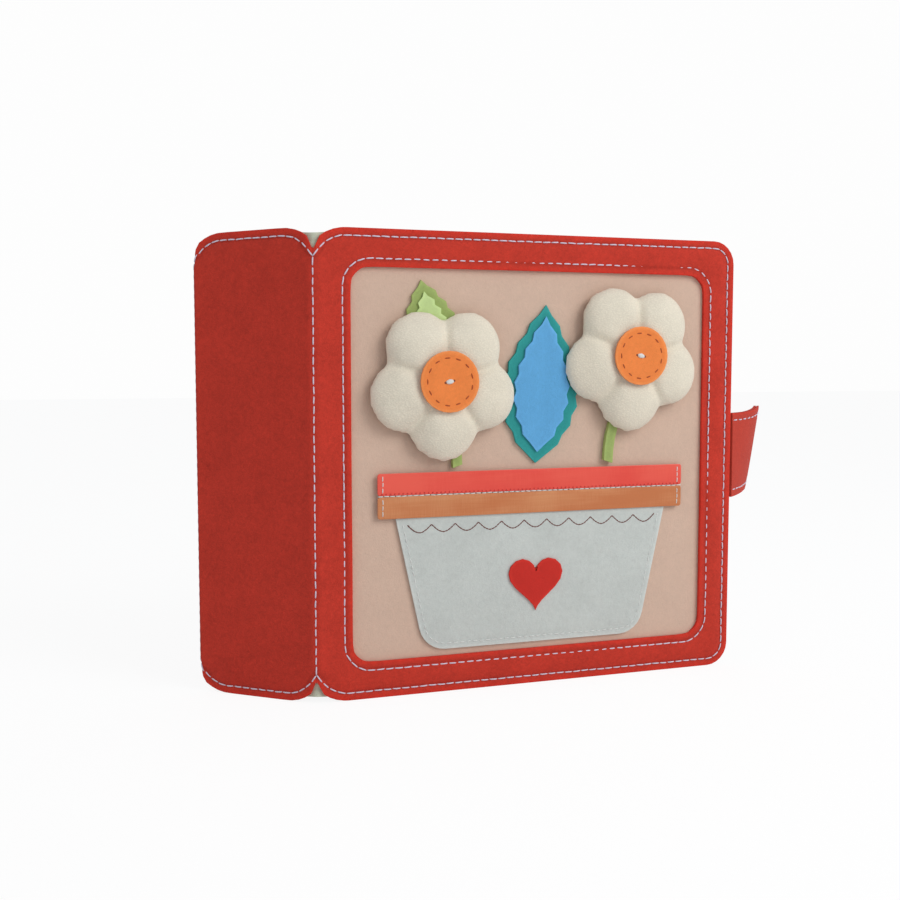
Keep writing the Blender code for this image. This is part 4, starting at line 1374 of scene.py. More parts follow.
def panel_path(fold_u, side, width, other_fold):
    """The seam from the foot of a fold round the panel to its head. side is 1 for a panel at high u."""
    shoulder = []
    for step in range(9):
        rise = (JUNCTION - SEAM_INSET) * (1 - step / 8) ** SHOULDER_POWER
        shoulder.append((SEWN_SHOULDER * step / 8, SEAM_INSET + rise))
    if other_fold:
        foot = shoulder + [(width - across, up) for across, up in reversed(shoulder)]
    else:
        foot = shoulder + corner_arc((width - CORNER, CORNER), (CORNER - SEAM_INSET,) * 2, 270, 360)
    head = [(across, HEIGHT - up) for across, up in reversed(foot)]
    return [(fold_u + side * across, up) for across, up in foot + head]


def closer_points(points, step=2 * MM, closed=False):
    """Fills a path with points no further apart than a step."""
    points = [Vector((p[0], p[1])) for p in points]
    ring = points + points[:1] if closed else points
    filled = []
    for a, b in zip(ring, ring[1:]):
        count = max(1, math.ceil((b - a).length / step))
        filled += [tuple(a.lerp(b, i / count)) for i in range(count)]
    return filled if closed else filled + [tuple(points[-1])]


def strip_row(points, depth, facing=-1, closed=False):
    """A path on the flat strip as a row on the folded book. facing is 1 for the lining's side."""
    places, outs = [], []
    for u, v in closer_points(points, closed=closed):
        place, outward = folded(u, depth, v - float(head_slope(u, v)), keep_sides=False)
        places.append(place)
        outs.append(outward if facing < 0 else -outward)
    return places, outs, closed


def rounded_path(low, high, radius):
    (u0, v0), (u1, v1) = low, high
    radii = (radius, radius)
    points = corner_arc((u0 + radius, v0 + radius), radii, 180, 270)
    points += corner_arc((u1 - radius, v0 + radius), radii, 270, 360)
    points += corner_arc((u1 - radius, v1 - radius), radii, 0, 90)
    points += corner_arc((u0 + radius, v1 - radius), radii, 90, 180)
    return points


FRONT_PATH = panel_path(0, 1, COVER_WIDTH, False)
SPINE_PATH = panel_path(0, -1, SPINE_WIDTH, True)
BACK_PATH = panel_path(-SPINE_WIDTH, -1, COVER_WIDTH, False)
spine_half = len(SPINE_PATH) // 4
SPINE_FOOT, SPINE_HEAD = SPINE_PATH[: 2 * spine_half], SPINE_PATH[2 * spine_half :]
FRONT_RIDGE = [(0, JUNCTION), (0, HEIGHT - JUNCTION)]
BACK_RIDGE = [(-SPINE_WIDTH, JUNCTION), (-SPINE_WIDTH, HEIGHT - JUNCTION)]
WINDOW_GAP = 3.5 * MM
WINDOW_PATH = rounded_path(
    (WINDOW_LOW[0] - WINDOW_GAP, WINDOW_LOW[2] - WINDOW_GAP),
    (WINDOW_HIGH[0] + WINDOW_GAP, WINDOW_HIGH[2] + WINDOW_GAP),
    12 * MM,
)

# %% Sew the covers
SEAM_PITCH = 4.08 * MM
SEAM_DEPTH = RIM_SINK + 0.12 * MM
WINDOW_DEPTH = 0.12 * MM
LINING_SEAM_DEPTH = SEWN_DEPTH - 0.1 * MM
RIDGE_DEPTH = 0.5 * MM


def clear_of_folds(path):
    """The part of a path that the lining has room for. Deep inside a fold the two sides meet."""
    return [(u, v) for u, v in path if abs(u) > 4 * MM and abs(u + SPINE_WIDTH) > 9 * MM]


LINING_PATHS = {
    "front_cover": [clear_of_folds(FRONT_PATH)],
    "spine": [clear_of_folds(SPINE_FOOT), clear_of_folds(SPINE_HEAD)],
    "back_cover": [clear_of_folds(BACK_PATH)],
}


def seam(name, rows, body, seed, pitch=SEAM_PITCH, stitch=SEAM_STITCH, material=LILAC_THREAD, uneven=1.0):
    made = sew(name, rows, stitch, pitch, material, seed, uneven)
    if body:
        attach(made, body)
    return made


seam(
    "front_cover_seams",
    [strip_row(FRONT_PATH, SEAM_DEPTH), strip_row(WINDOW_PATH, WINDOW_DEPTH, closed=True)],
    "front_cover",
    1,
)
seam("spine_seams", [strip_row(SPINE_FOOT, SEAM_DEPTH), strip_row(SPINE_HEAD, SEAM_DEPTH)], "spine", 2)
seam("back_cover_seam", [strip_row(BACK_PATH, SEAM_DEPTH)], "back_cover", 3)
for number, (body, paths) in enumerate(LINING_PATHS.items()):
    seam(f"{body}_lining_seam", [strip_row(path, LINING_SEAM_DEPTH, 1) for path in paths], body, 4 + number)
front_ridge = seam("front_fold_seam", [strip_row(FRONT_RIDGE, 0.3 * MM)], None, 7)
back_ridge = seam("back_fold_seam", [strip_row(BACK_RIDGE, RIDGE_DEPTH)], None, 8)
bend_at(front_ridge)
bend_at(back_ridge)
print("covers sewn")

# %% [markdown]
# ## Stitches on the front
# The pot is sewn 2.5 mm inside its outline, so its seam is the outline moved inwards. White thread also
# holds the two ribbons where they meet, and the coral one has a picot edge of tiny loops. Under the
# ribbons a brown thread makes a row of small scallops. The discs are held by dashes of dark orange
# thread and by a knot in the middle.

# %% Outlines as ordered loops


def outline_loop(node, to_world, facing):
    """The outline of a CAD piece's flat side as places in order round it, anticlockwise in u and v."""
    flat = cut_out("outline", node, to_world, facing)
    places = points_of(flat)
    following = {}
    uses = {}
    for face in flat.data.polygons:
        for a, b in face.edge_keys:
            uses[(a, b)] = uses.get((a, b), 0) + 1
    for (a, b), count in uses.items():
        if count == 1:
            following.setdefault(a, []).append(b)
            following.setdefault(b, []).append(a)
    first = next(iter(following))
    loop, previous, here = [first], None, first
    while True:
        step = [p for p in following[here] if p != previous][0]
        if step == first:
            break
        loop.append(step)
        previous, here = here, step
    bpy.data.objects.remove(flat)
    points = [(places[i][0], places[i][2]) for i in loop]
    area = sum(a[0] * b[1] - b[0] * a[1] for a, b in zip(points, points[1:] + points[:1]))
    return points if area > 0 else points[::-1]


def moved_in(points, inset):
    """A loop moved inwards from each of its points."""
    moved = []
    for index, point in enumerate(points):
        here = Vector(point)
        before = (here - Vector(points[index - 1])).normalized()
        after = (Vector(points[(index + 1) % len(points)]) - here).normalized()
        inward = Vector((-before.y - after.y, before.x + after.x)).normalized()
        cosine = max(0.4, inward.dot(Vector((-before.y, before.x))))
        moved.append(tuple(here + inward * inset / cosine))
    return moved


def flat_row(points, to_world, depth, facing, closed=True):
    """A path on a flat face as a row. facing is -1 for an outer face and 1 for an inner one."""
    outward = (to_world.to_3x3() @ Vector((0, facing, 0))).normalized()
    places = [to_world @ Vector((u, depth, v)) for u, v in closer_points(points, closed=closed)]
    return places, [outward] * len(places), closed


def front_row(points, depth, closed=False):
    return flat_row(points, FRONT, depth, -1, closed)


# %% Pot, ribbons and scallops
pot_face = (FRONT.inverted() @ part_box("pot_felt")[0]).y
upper_face = (FRONT.inverted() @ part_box("ribbon_coral")[0]).y
tan_low, tan_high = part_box("ribbon_tan")
ribbon_left, ribbon_right = ribbon_low.x - FRONT_FOLD.x, ribbon_high.x - FRONT_FOLD.x
pot_outline = moved_in(outline_loop("pot_felt", FRONT, -1), POT_SEAM)
pot_seam = [p for p in closer_points(pot_outline, closed=True) if p[1] < tan_low.z - 1 * MM]
turn_at = max(range(len(pot_seam)), key=lambda i: math.dist(pot_seam[i], pot_seam[i - 1]))
pot_seam = pot_seam[turn_at:] + pot_seam[:turn_at]


def white_seam(name, rows, seed, pitch):
    seam(name, rows, "front_cover", seed, pitch, SMALL_STITCH, WHITE_THREAD)


white_seam("pot_seam", [front_row(pot_seam, pot_face + 0.12 * MM)], 9, 3.0 * MM)


def across_row(height, depth, inset):
    return front_row([(ribbon_left + inset, height), (ribbon_right - inset, height)], depth)


between = (ribbon_low.z + tan_high.z) / 2
white_seam("ribbon_seam", [across_row(between, upper_face + 0.15 * MM, 0)], 10, 2.6 * MM)
picots = [across_row(ribbon_low.z + 0.7 * MM, upper_face - 0.02 * MM, 1 * MM)]
seam("ribbon_picots", picots, "front_cover", 11, 1.9 * MM, PICOT, CORAL_THREAD)
end_rows = []
for end in (ribbon_left + 2.2 * MM, ribbon_right - 2.2 * MM):
    for low, high in ((ribbon_low, ribbon_high), (tan_low, tan_high)):
        end_rows.append(front_row([(end, low.z + 1 * MM), (end, high.z - 1 * MM)], upper_face - 0.02 * MM))
white_seam("ribbon_end_stitches", end_rows, 12, 2.6 * MM)

SCALLOPS = 11
SCALLOP_STEPS = 10
SCALLOP_DEPTH = 3.4 * MM
scallop_top = tan_low.z - 3.2 * MM
scallop_left = min(p[0] for p in pot_outline if p[1] > scallop_top - 6 * MM) + 4 * MM
scallop_right = COVER_WIDTH - scallop_left
scallop = []
for step in range(SCALLOPS * SCALLOP_STEPS + 1):
    phase = (step % SCALLOP_STEPS) / SCALLOP_STEPS
    across = scallop_left + (scallop_right - scallop_left) * step / (SCALLOPS * SCALLOP_STEPS)
    scallop.append((across, scallop_top - SCALLOP_DEPTH * math.sin(math.pi * phase)))
BACKSTITCH = model_stitch("backstitch", 1.7 * MM, 0.24 * MM, 0.06 * MM)
scallop_row = [FRONT @ Vector((u, pot_face - 0.1 * MM, v)) for u, v in scallop]
scallop_rows = [(scallop_row, [-INWARD] * len(scallop_row), False)]
seam("pot_scallops", scallop_rows, "front_cover", 13, 1.45 * MM, BACKSTITCH, BROWN_THREAD, 0.5)
print("pot and ribbons sewn")

# %% Discs
DISC_RADIUS = (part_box("blossom_left_disc")[1].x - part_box("blossom_left_disc")[0].x) / 2
DASH_RING = DISC_RADIUS * 0.77


def model_knot():
    """A thread that crosses between two holes a few times: a small lumpy bead."""
    knot = new_shape("knot", bpy.ops.mesh.primitive_uv_sphere_add, segments=14, ring_count=8, radius=1)
    places = points_of(knot)
    lumps = 1 + waves(places, 0.8, 0.22, 4)
    places = places * np.array((1.8, 1.05, 0.75)) * MM * lumps[:, None]
    move_points(knot, places)
    keep_value(knot, "along", places[:, 0] / (1.9 * MM))
    return knot


# A small dark disc stands for the painted shade inside each thread hole beside the knot.
def model_hole():
    disc = bpy.ops.mesh.primitive_cylinder_add
    hole = new_shape("hole", disc, vertices=12, radius=0.55 * MM, depth=0.3 * MM)
    in_edit_mode(hole)
    bpy.ops.mesh.bevel(offset=0.08 * MM, segments=2)
    in_object_mode()
    keep_value(hole, "along", np.zeros(len(hole.data.vertices)))
    return hole


KNOT = model_knot()
HOLE = model_hole()
# painted shade: the colour of the dark discs in the thread holes
DARK_HOLE = thread_material("shade in a thread hole", (120, 52, 22))
for side in ("left", "right"):
    low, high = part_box(f"blossom_{side}_disc")
    centre = FRONT.inverted() @ ((low + high) / 2)
    face = (FRONT.inverted() @ low).y
    ring = corner_arc((centre.x, centre.z), (DASH_RING,) * 2, 0, 360, 48)[:-1]
    dip = DISC_SINK * math.exp(-((DASH_RING / DISH_WIDTH) ** 2))
    body = f"blossom_{side}"
    dashes = front_row(ring, face + dip + 0.1 * MM, closed=True)
    seam(f"{body}_dashes", [dashes], body, 20, 5.0 * MM, DASH_STITCH, DARK_ORANGE_THREAD)
    tilt = math.radians(12 if side == "left" else -10)
    way = Vector((math.cos(tilt), 0, math.sin(tilt)))
    middle = FRONT @ Vector((centre.x, face + DISC_SINK - 0.1 * MM, centre.z))
    knot_row = ([middle - way * MM, middle + way * MM], [-INWARD] * 2, False)
    seam(f"{body}_knot", [knot_row], body, 21, 3 * MM, KNOT, WHITE_THREAD, 0.3)
    holes = []
    for end in (-2.0, 2.0):
        here = middle + way * end * MM + INWARD * 0.05 * MM
        holes.append(([here - way * 0.1 * MM, here + way * 0.1 * MM], [-INWARD] * 2, False))
    seam(f"{body}_thread_holes", holes, body, 22, 3 * MM, HOLE, DARK_HOLE, 0.3)
print("discs sewn")

# %% [markdown]
# ## The closing strap
# The strap is two layers of red felt, sewn together 3.3 mm inside the long edges and round the tip. It
# leaves the fore edge of the front cover, curves round behind the book, and has the hook patch near its
# tip. A soft strap never hangs true: its upper edge springs out more than its lower one, it climbs a
# little from its root, and its free end droops. So it is laid out flat as one strip, and every flat
# place is carried onto the curved, twisted run.

# %% The run of the strap
strap_root = Vector(joints["strap_band_bend"]["pos_m"])
strap_turn = Vector(joints["strap_end_bend"]["pos_m"])
band_low, band_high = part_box("strap_band_outer_felt")
STRAP_LOW, STRAP_HIGH = band_low.z, band_high.z
STRAP_MIDDLE = (STRAP_LOW + STRAP_HIGH) / 2
end_mesh = frame["nodes"]["strap_end_outer_felt"].data
end_normal = max(end_mesh.polygons, key=lambda face: face.area).normal
if end_normal.y > 0:
    end_normal = -end_normal
END_HEADING = math.atan2(end_normal.x, -end_normal.y)
end_way = Vector((math.cos(END_HEADING), math.sin(END_HEADING)))
END_LENGTH = max((vertex.co.xy - strap_turn.xy).dot(end_way) for vertex in end_mesh.vertices)
chord = strap_turn.xy - strap_root.xy
CHORD_HEADING = math.atan2(chord.y, chord.x)
BAND_BEND = 2 * (END_HEADING - CHORD_HEADING)
BAND_RADIUS = chord.length / (2 * math.sin(BAND_BEND / 2))
BAND_LENGTH = BAND_RADIUS * BAND_BEND
ROOT_HEADING = END_HEADING - BAND_BEND
STRAP_LENGTH = BAND_LENGTH + END_LENGTH
SPRING_LENGTH, SPRING = 64 * MM, 3.0 * MM
CLIMB_LENGTH, CLIMB, CLIMB_TWIST = 30 * MM, 2.0 * MM, 0.6 * MM
DROOP_REACH, DROOP = 19 * MM, 6 * MM
print("strap", round(STRAP_LENGTH / MM, 1), "mm long")


def clamped(value):
    return max(0.0, min(1.0, value))


def strap_place(along, aside, up):
    """A flat place of the strap in the world. aside is to the left of the run, towards its inner side."""
    if along < BAND_LENGTH:
        turn = max(0.0, along) / BAND_RADIUS
        heading = ROOT_HEADING + turn
        x = BAND_RADIUS * (math.sin(heading) - math.sin(ROOT_HEADING))
        y = BAND_RADIUS * (math.cos(ROOT_HEADING) - math.cos(heading))
        if along < 0:
            x += along * math.cos(heading)
            y += along * math.sin(heading)
    else:
        heading = END_HEADING
        x = strap_turn.x - strap_root.x + (along - BAND_LENGTH) * math.cos(heading)
        y = strap_turn.y - strap_root.y + (along - BAND_LENGTH) * math.sin(heading)
    normal = Vector((-math.sin(heading), math.cos(heading), 0))
    height = (up - STRAP_MIDDLE) / (STRAP_HIGH - STRAP_MIDDLE)
    proud = SPRING * (1 + height) * math.sin(math.pi * clamped(along / SPRING_LENGTH)) ** 1.3
    share = clamped(along / CLIMB_LENGTH)
    late = max(0.0, (share - 0.2) / 0.8) ** 1.7
    climb = (share + late + (late - share) * height) / 2 * (CLIMB + CLIMB_TWIST * height)
    past = max(0.0, along - CLIMB_LENGTH)
    droop = DROOP * (1 - math.exp(-((past / DROOP_REACH) ** 1.25)))
    place = Vector((strap_root.x + x, strap_root.y + y, up + climb - droop))
    return place + normal * (aside - proud), normal


# %% [markdown]
# The hinge between the strap's band and its end lies in the middle of the strap. The strip is parted
# into a band and an end, and the open ends are closed.

# %% Two layers of felt, sewn
STRAP_THICKNESS = 1.2 * MM
STRAP_PART = 36 * MM
BAND_GAP = 0.15 * MM
TIP_ROUND = 12 * MM


def strap_layer(name, near, far, seed):
    """One felt of the strap as a flat strip: u along it, d across its thickness, v up."""
    middle = (STRAP_LENGTH / 2, near, STRAP_MIDDLE)
    upright = (math.pi / 2, 0, 0)
    piece = new_shape(name, bpy.ops.mesh.primitive_plane_add, size=1, location=middle, rotation=upright)
    bpy.ops.object.mode_set(mode="EDIT")
    size = (STRAP_LENGTH, 1, STRAP_HIGH - STRAP_LOW)
    bpy.ops.transform.resize(value=size, center_override=middle)
    in_object_mode()
    bpy.ops.object.transform_apply(location=True, rotation=True, scale=True)
    in_edit_mode(piece, "VERT")
    bpy.ops.mesh.select_all(action="DESELECT")
    in_object_mode()
    for vertex in piece.data.vertices:
        vertex.select = vertex.co.x > STRAP_LENGTH / 2
    bpy.ops.object.mode_set(mode="EDIT")
    bpy.ops.mesh.bevel(offset=TIP_ROUND, segments=8, affect="VERTICES")
    in_object_mode()
    starts, ends = open_edges(piece)
    sewn = (starts[:, 0] > 1e-6) | (ends[:, 0] > 1e-6)
    offsets = RIM_OFFSETS[:5]
    lines = even_places(0, STRAP_LENGTH, 2.5 * MM) + rim_lines(0, STRAP_LENGTH, offsets)
    cut_lines(piece, RIGHT, lines + [STRAP_PART])
    lines = even_places(STRAP_LOW, STRAP_HIGH, 3 * MM) + rim_lines(STRAP_LOW, STRAP_HIGH, offsets)
    cut_lines(piece, UP, lines)
    edge = distance_to(points_of(piece), starts[sewn], ends[sewn])
    keep_value(piece, "rim", edge)
    keep_value(piece, "edge_mm", edge / MM)
    outward = -1 if near < far else 1
    sides_outward(piece, outward)
    thicken(piece, STRAP_THICKNESS, 0.3 * MM)
    places = points_of(piece)
    on_face = 1 - np.clip(abs(places[:, 1] - near) / STRAP_THICKNESS, 0, 1)
    sunk = face_sink(kept_value(piece, "rim")) * 0.8
    places[:, 1] -= outward * on_face * sunk
    places[:, 1] += outward * on_face * (0.1 * MM + waves(places, 20 * MM, 0.2 * MM, seed))
    move_points(piece, places)
    return piece


def onto_strap(piece):
    move_points(piece, [strap_place(*place)[0] for place in points_of(piece)])
    smooth(piece)


def bend_strap(piece):
    """Bakes the piece's transform into its mesh."""
    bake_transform(piece)


total = STRAP_THICKNESS + BAND_GAP
for layer, near, far, seed, nodes in (
    ("outer", -total, -BAND_GAP, 31, ("strap_band_outer_felt", "strap_end_outer_felt")),
    ("inner", total, BAND_GAP, 32, ("strap_band_lining_felt", "strap_end_lining_felt")),
):
    whole = strap_layer(f"strap_{layer}", near, far, seed)
    end_part, root_part = part_at(whole, RIGHT, STRAP_PART, f"strap_{layer}")
    end_part.name, root_part.name = f"strap_{layer}_end", f"strap_{layer}_band"
    for part in (end_part, root_part):
        onto_strap(part)
        give(part, STRAP_FELT)
    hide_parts(nodes[0])
    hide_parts(nodes[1])
    bend_strap(root_part)
    bend_strap(end_part)
print("strap felts made")

# %% Strap seams


def strap_row(points, aside, facing, closed=False):
    places, outs = [], []
    for along, up in closer_points(points, closed=closed):
        place, normal = strap_place(along, aside, up)
        places.append(place)
        outs.append(normal * facing)
    return places, outs, closed


low_row, high_row = STRAP_LOW + SEAM_INSET, STRAP_HIGH - SEAM_INSET
tip_radii = (TIP_ROUND - SEAM_INSET,) * 2
tip_path = [(STRAP_PART + 1 * MM, low_row)]
tip_path += corner_arc((STRAP_LENGTH - TIP_ROUND, STRAP_LOW + TIP_ROUND), tip_radii, 270, 360)
tip_path += corner_arc((STRAP_LENGTH - TIP_ROUND, STRAP_HIGH - TIP_ROUND), tip_radii, 0, 90)
tip_path += [(STRAP_PART + 1 * MM, high_row)]
root_paths = [[(1 * MM, up), (STRAP_PART - 0.5 * MM, up)] for up in (low_row, high_row)]
for layer, facing in (("outer", -1), ("inner", 1)):
    aside = facing * (total - 0.15 * MM)
    rows = [strap_row(path, aside, facing) for path in root_paths]
    root_seam = seam(f"strap_{layer}_band_seams", rows, None, 40)
    bend_strap(root_seam)
    end_seam = seam(f"strap_{layer}_end_seam", [strap_row(tip_path, aside, facing)], None, 41)
    bend_strap(end_seam)
print("strap sewn")

# %% [markdown]
# ## Hook and loop patches
# Touch fastener comes as a tape. The hook side is a woven ground with rows of tiny stiff hooks, and the
# loop side is a low brushed fleece. Both are thin plates sewn on near their edges. The hooks are too
# many to model, so their rows are in the relief of the material, at the real pitch of 1.5 mm.

# %% Patches
inputs = [("Colour", "colour", GREY), ("Rows per metre", "value", 670), ("Hooks", "value", 1)]
TAPE, w, place, given, out = new_group("touch tape", inputs)
split = w.node("ShaderNodeSeparateXYZ")
w.link(place, split.inputs[0])
turned = w.math("MULTIPLY", given["Rows per metre"], 2 * math.pi)
wave_x = w.math("SINE", w.math("MULTIPLY", split.outputs[0], turned))
wave_z = w.math("SINE", w.math("MULTIPLY", split.outputs[2], turned))
hooks = w.remap(w.math("MULTIPLY", wave_x, wave_z), 0.1, 0.6)
fleece = w.noise(place, 1300, 4, 0.7, 1.5)
relief = w.math("ADD", w.math("MULTIPLY", hooks, given["Hooks"]), w.math("MULTIPLY", fleece, 0.6))
# painted shade: the colour is lighter on the raised hooks and fleece and darker between them
lightness = w.remap(relief, 0.1, 1.2, 0.75, 1.2)
w.link(w.shaded(given["Colour"], lightness), out["Colour"])
w.link(w.remap(fleece, 0.3, 0.7, 0.6, 0.85), out["Roughness"])
w.link(relief, out["Height"])
gloss = {"Specular IOR Level": 0.4}
HOOK_TAPE = new_material("red hook tape", TAPE, {"Colour": colour_of(166, 44, 36)}, (0.9, 0.7 * MM), gloss)
values = {"Colour": colour_of(182, 54, 44), "Hooks": 0}
gloss = {"Sheen Weight": 0.3, "Specular IOR Level": 0.2}
LOOP_TAPE = new_material("red loop tape", TAPE, values, (0.9, 0.6 * MM), gloss)
PATCH_SEAM = 2 * MM
PATCH_CUT, PATCH_GROOVE = (0.25, 0.8), (0.2, 0.7)


def tape_relief(places, edge):
    return 0 * edge, -groove(edge, *PATCH_CUT) - groove(edge - PATCH_SEAM, *PATCH_GROOVE)


end_frame = Matrix.Translation(Vector((strap_turn.x, strap_turn.y, 0))) @ Matrix.Rotation(END_HEADING, 4, "Z")
to_end = end_frame.inverted()


def follow_strap(place):
    """Carries a place on the CAD's straight strap end to the same place on the drooping one."""
    flat = to_end @ Vector(place)
    return strap_place(BAND_LENGTH + flat.x, flat.y, flat.z)[0]


hook = flat_piece("hook_patch", "strap_hook_patch", end_frame, 1, 1.2 * MM, 2 * MM, 0.25 * MM, tape_relief)
move_points(hook, [follow_strap(place) for place in points_of(hook)])
settle(hook, "strap_end", "strap_hook_patch", HOOK_TAPE)
BACK = PANELS["back"]
loop_patch = flat_piece("loop_patch", "back_loop_patch", BACK, -1, 1.2 * MM, 2 * MM, 0.25 * MM, tape_relief)
settle(loop_patch, "back_cover", "back_loop_patch", LOOP_TAPE)


def patch_seam(name, node, to_world, facing, body, seed):
    path = moved_in(outline_loop(node, to_world, facing), PATCH_SEAM)
    face = (points_of(frame["nodes"][node]) @ np.array(to_world.inverted())[:3, :3].T)[:, 1]
    shift = np.array(to_world.inverted())[1, 3]
    depth = (face.max() if facing > 0 else face.min()) + shift - facing * 0.32 * MM
    places, outs, closed = flat_row(path, to_world, depth, facing)
    if body == "strap_end":
        places = [follow_strap(place) for place in places]
    seam(name, [(places, outs, closed)], body, seed, 3.0 * MM, SMALL_STITCH, CORAL_THREAD)


patch_seam("hook_patch_seam", "strap_hook_patch", end_frame, 1, "strap_end", 42)
patch_seam("loop_patch_seam", "back_loop_patch", BACK, -1, "back_cover", 43)
print("patches sewn")

# %% [markdown]
# ## Pages
# A page is two pale green felts with wadding between them, sewn 3 mm inside the edge. Sewn together like
# that it becomes a thin cushion: full in the middle and flat at its rim. On each side is one plain felt
# shape to name: a circle, a square and so on. All pages are made by one function from their CAD outlines.

# %% Shape and sew the pages
PAGE_FELT_SIZES = (1.0, 6, 0.25)
SHAPE_SIZES = (0.8, 4, 0.2)
PAGE_SEAM = 3.0 * MM
PAGE_CUT, PAGE_GROOVE, SHAPE_SWELL = (0.15, 0.8), (0.22, 0.8), (0.1, 5)
SHAPE_SEAM = 2.2 * MM
PAD_GRID = 12 * MM
PAD_OFFSETS = (2 * MM, 5 * MM)
PAGE_SHAPES = {
    1: (("circle", ORANGE_FELT, "orange_felt"), ("square", BLUE_FELT, "blue_felt")),
    2: (("triangle", LIME_FELT, "lime_felt"), ("star", HEART_FELT, "red_felt")),
    3: (("heart", HEART_FELT, "red_felt"), ("crescent", BLUE_FELT, "blue_felt")),
    4: (("hexagon", TEAL_FELT, "teal_felt"), ("oval", ORANGE_FELT, "orange_felt")),
}
PAGE_SINK = 0.7 * MM


def page_relief(seed):
    def relief(places, edge):
        rim = 1 - smooth_step((edge - 3.2 * MM) / (6 * MM))
        sewn = groove(edge - PAGE_SEAM, *PAGE_GROOVE) + groove(edge, *PAGE_CUT)
        return -PAGE_SINK * rim, waves(places, 40 * MM, 0.12 * MM, seed) * (1 - rim) - sewn * 0.7

    return relief


def shape_relief(places, edge):
    return 0 * edge, swell(edge, *SHAPE_SWELL) - groove(edge, *SMALL_CUT)


def page_frame(number):
    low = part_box(f"page_{number}_front_felt")[0]
    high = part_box(f"page_{number}_back_felt")[1]
    return Matrix.Translation(Vector((low.x, (low.y + high.y) / 2, 0)))


def page_piece(name, node, number, facing, sizes, relief):
    """sizes are the thickness, the grid and the rounding of the rim, in mm."""
    return flat_piece(name, node, page_frame(number), facing, *(size * MM for size in sizes), relief)


def page_side(number, side, facing, name, material, slot):
    """One felt of a page with the shape on it. Returns the rows of stitches that hold them."""
    body = f"page_{number}"
    to_world = page_frame(number)
    node = f"{body}_{side}_felt"
    felt = page_piece(f"{body}_{side}_sheet", node, number, facing, PAGE_FELT_SIZES, page_relief(number))
    settle(felt, body, node, LINING_FELT)
    low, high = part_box(node)
    depth = facing * (high.y - low.y + BAND_GAP - PAGE_SINK - 0.12 * MM)
    inside = moved_in(outline_loop(node, to_world, facing), PAGE_SEAM)
    rows = [flat_row(inside, to_world, depth, facing)]
    node = f"{body}_{name}"
    patch = page_piece(f"{node}_felt", node, number, facing, SHAPE_SIZES, shape_relief)
    settle(patch, body, node, material)
    low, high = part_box(node)
    face = to_world.inverted() @ (low if facing < 0 else high)
    inside = moved_in(outline_loop(node, to_world, facing), SHAPE_SEAM)
    rows.append(flat_row(inside, to_world, face.y - facing * 0.05 * MM, facing))
    return rows


def sew_page(number):
    body = f"page_{number}"
    rows = []
    for side, facing, shape in zip(("front", "back"), (-1, 1), PAGE_SHAPES[number]):
        rows += page_side(number, side, facing, *shape)
    seam(f"{body}_seams", rows, body, 50 + number, 4.0 * MM, SMALL_STITCH, WHITE_THREAD)
    low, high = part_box(f"{body}_wadding")
    centre = (low + high) / 2
    pad = new_shape(f"{body}_filling", bpy.ops.mesh.primitive_cube_add, size=1, location=centre)
    bpy.ops.object.mode_set(mode="EDIT")
    bpy.ops.transform.resize(value=tuple(high - low), center_override=tuple(centre))
    in_object_mode()
    bpy.ops.object.transform_apply(location=True, rotation=False, scale=False)
    for direction, start, end in ((RIGHT, low.x, high.x), (UP, low.z, high.z)):
        cut_lines(pad, direction, even_places(start, end, PAD_GRID) + rim_lines(start, end, PAD_OFFSETS))
    places = points_of(pad)
    gaps = [places[:, 0] - low.x, high.x - places[:, 0], places[:, 2] - low.z, high.z - places[:, 2]]
    full = 0.25 + 0.75 * smooth_step(np.minimum.reduce(gaps) / (6 * MM))
    places[:, 1] = centre.y + (places[:, 1] - centre.y) * full
    move_points(pad, places)
    smooth(pad, 60)
    settle(pad, body, f"{body}_wadding", WADDING)


for number in PAGE_SHAPES:
    sew_page(number)
print("pages sewn")

# %% Clear the sewing table
for master in (SEAM_STITCH, SMALL_STITCH, DASH_STITCH, PICOT, BACKSTITCH, KNOT, HOLE):
    bpy.data.objects.remove(master)

# %% [markdown]
# ## Boards
# The boards inside the covers are hidden in their pockets and need no new shape. They get the look of
# pressed grey card: pale fibres and small dark flecks, with hardly any gloss.

# %% Greyboard
CARD, w, place, given, out = new_group("grey card", [("Colour", "colour", GREY)])
flecks = w.remap(w.noise(place, 900, 4, 0.7), 0.62, 0.72)
pulp = w.noise(place, 160, 4, 0.6)
card_colour = w.mix(pulp, given["Colour"], (0.36, 0.34, 0.31, 1))
w.link(w.mix(flecks, card_colour, (0.12, 0.11, 0.10, 1)), out["Colour"])
w.link(w.remap(pulp, 0.3, 0.7, 0.82, 0.95), out["Roughness"])
w.link(pulp, out["Height"])
BOARD_CARD = new_material("grey card", CARD, {"Colour": (0.30, 0.285, 0.26, 1)}, (0.4, 0.2 * MM), {})
for name in ("front_board", "spine_board", "back_board"):
    give(frame["nodes"][name], BOARD_CARD)
print("boards finished")

# %% [markdown]
# ## The table, the light and the camera
# The photograph was taken on plain white, in soft light from the front and the right, so that the
# spine is a shade darker than the cover. A large lamp gives that light, and a pale sky fills the
# shadows. The floor looks white to the camera but stays a real floor for the light, so it keeps a
# faint shadow under the book. The camera stands where the photograph's perspective puts it.

# %% Floor and sky
CAMERA_WHITE = 1.045
FLOOR_BLEND = 0.86
FILL_STRENGTH = 0.49
SKY_WHITE = 0.985


def seen_directly(w):
    """1 for rays from the camera, in a reflection or through glass, and 0 for the light's own rays."""
    rays = w.node("ShaderNodeLightPath")
    seen = w.math("MAXIMUM", rays.outputs["Is Camera Ray"], rays.outputs["Is Glossy Ray"])
    return w.math("MAXIMUM", seen, rays.outputs["Is Transmission Ray"])


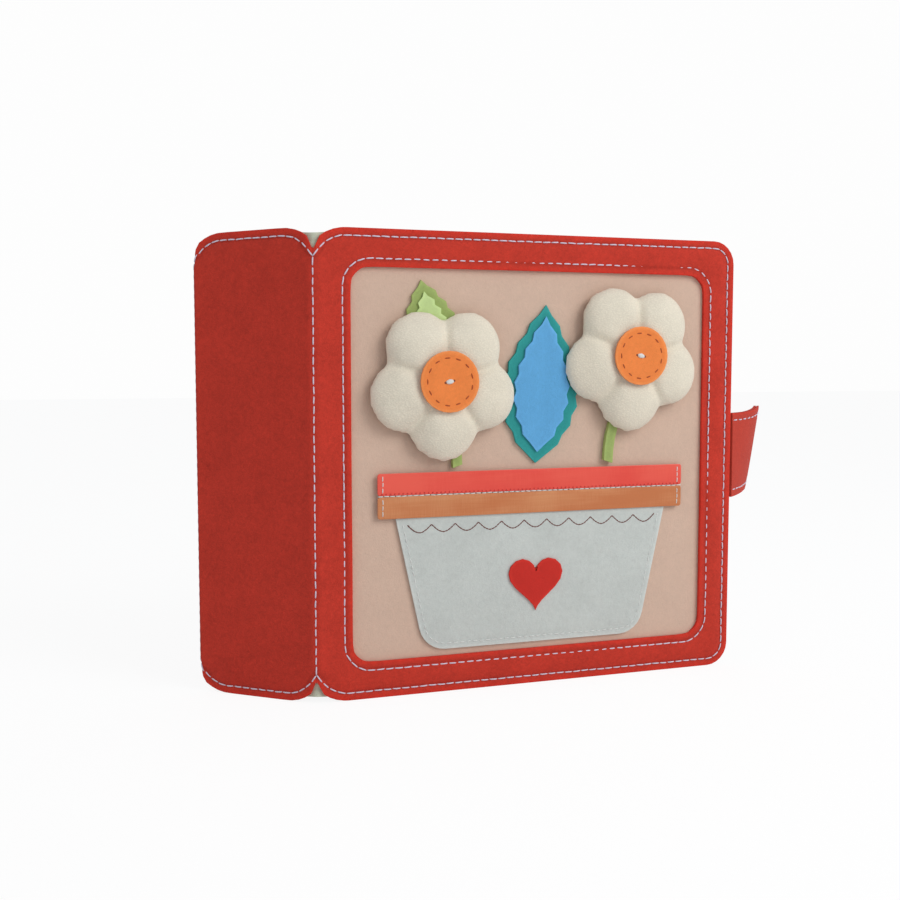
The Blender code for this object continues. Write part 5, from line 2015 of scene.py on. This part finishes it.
def blended(w, share, first, second, surface):
    blend = w.node("ShaderNodeMixShader")
    w.link(share, blend.inputs[0])
    w.link(first.outputs[0], blend.inputs[1])
    w.link(second.outputs[0], blend.inputs[2])
    w.link(blend.outputs[0], surface.inputs["Surface"])


floor = new_shape("floor", bpy.ops.mesh.primitive_plane_add, size=8, location=(0, 0, -0.2 * MM))
paper = bpy.data.materials.new("white table")
paper.use_nodes = True
w = Wiring(paper.node_tree)
plain = paper.node_tree.nodes["Principled BSDF"]
plain.inputs["Base Color"].default_value = (0.86, 0.86, 0.86, 1)
plain.inputs["Roughness"].default_value = 0.9
glow = w.node("ShaderNodeEmission")
glow.inputs["Strength"].default_value = CAMERA_WHITE
share = w.math("MULTIPLY", seen_directly(w), FLOOR_BLEND)
blended(w, share, plain, glow, paper.node_tree.nodes["Material Output"])
floor.data.materials.append(paper)

sky = bpy.data.worlds.new("pale sky")
sky.use_nodes = True
bpy.context.scene.world = sky
w = Wiring(sky.node_tree)
fill_light = sky.node_tree.nodes["Background"]
fill_light.inputs["Color"].default_value = (0.93, 0.96, 1.0, 1)
fill_light.inputs["Strength"].default_value = FILL_STRENGTH
white = w.node("ShaderNodeBackground")
white.inputs["Color"].default_value = (1, 1, 1, 1)
white.inputs["Strength"].default_value = SKY_WHITE
blended(w, seen_directly(w), fill_light, white, sky.node_tree.nodes["World Output"])
print("floor and sky ready")

# %% Lamps


def area_lamp(name, place, target, size, power):
    lamp = new_shape(name, bpy.ops.object.light_add, type="AREA", location=place)
    lamp.data.size = size
    lamp.data.energy = power
    lamp.rotation_euler = (Vector(target) - Vector(place)).to_track_quat("-Z", "Y").to_euler()


area_lamp("window light", (0.75, -0.85, 0.75), (0.08, 0, 0.1), 0.7, 7.1)
area_lamp("left fill", (-0.9, -0.5, 0.5), (0, 0, 0.1), 0.8, 0.5)
print("lamps ready")

# %% Camera
bpy.ops.object.camera_add(
    location=(-77.2 * MM, -481.8 * MM, 145.0 * MM),
    rotation=(math.radians(90 - 4.52), 0, math.radians(-18.92)),
)
camera = bpy.context.view_layer.objects.active
camera.name = "photo_camera"
camera.data.sensor_width = 36
camera.data.lens = 45.38
camera.data.clip_start = 0.01
bpy.context.scene.camera = camera
bpy.context.scene.view_settings.view_transform = "Standard"
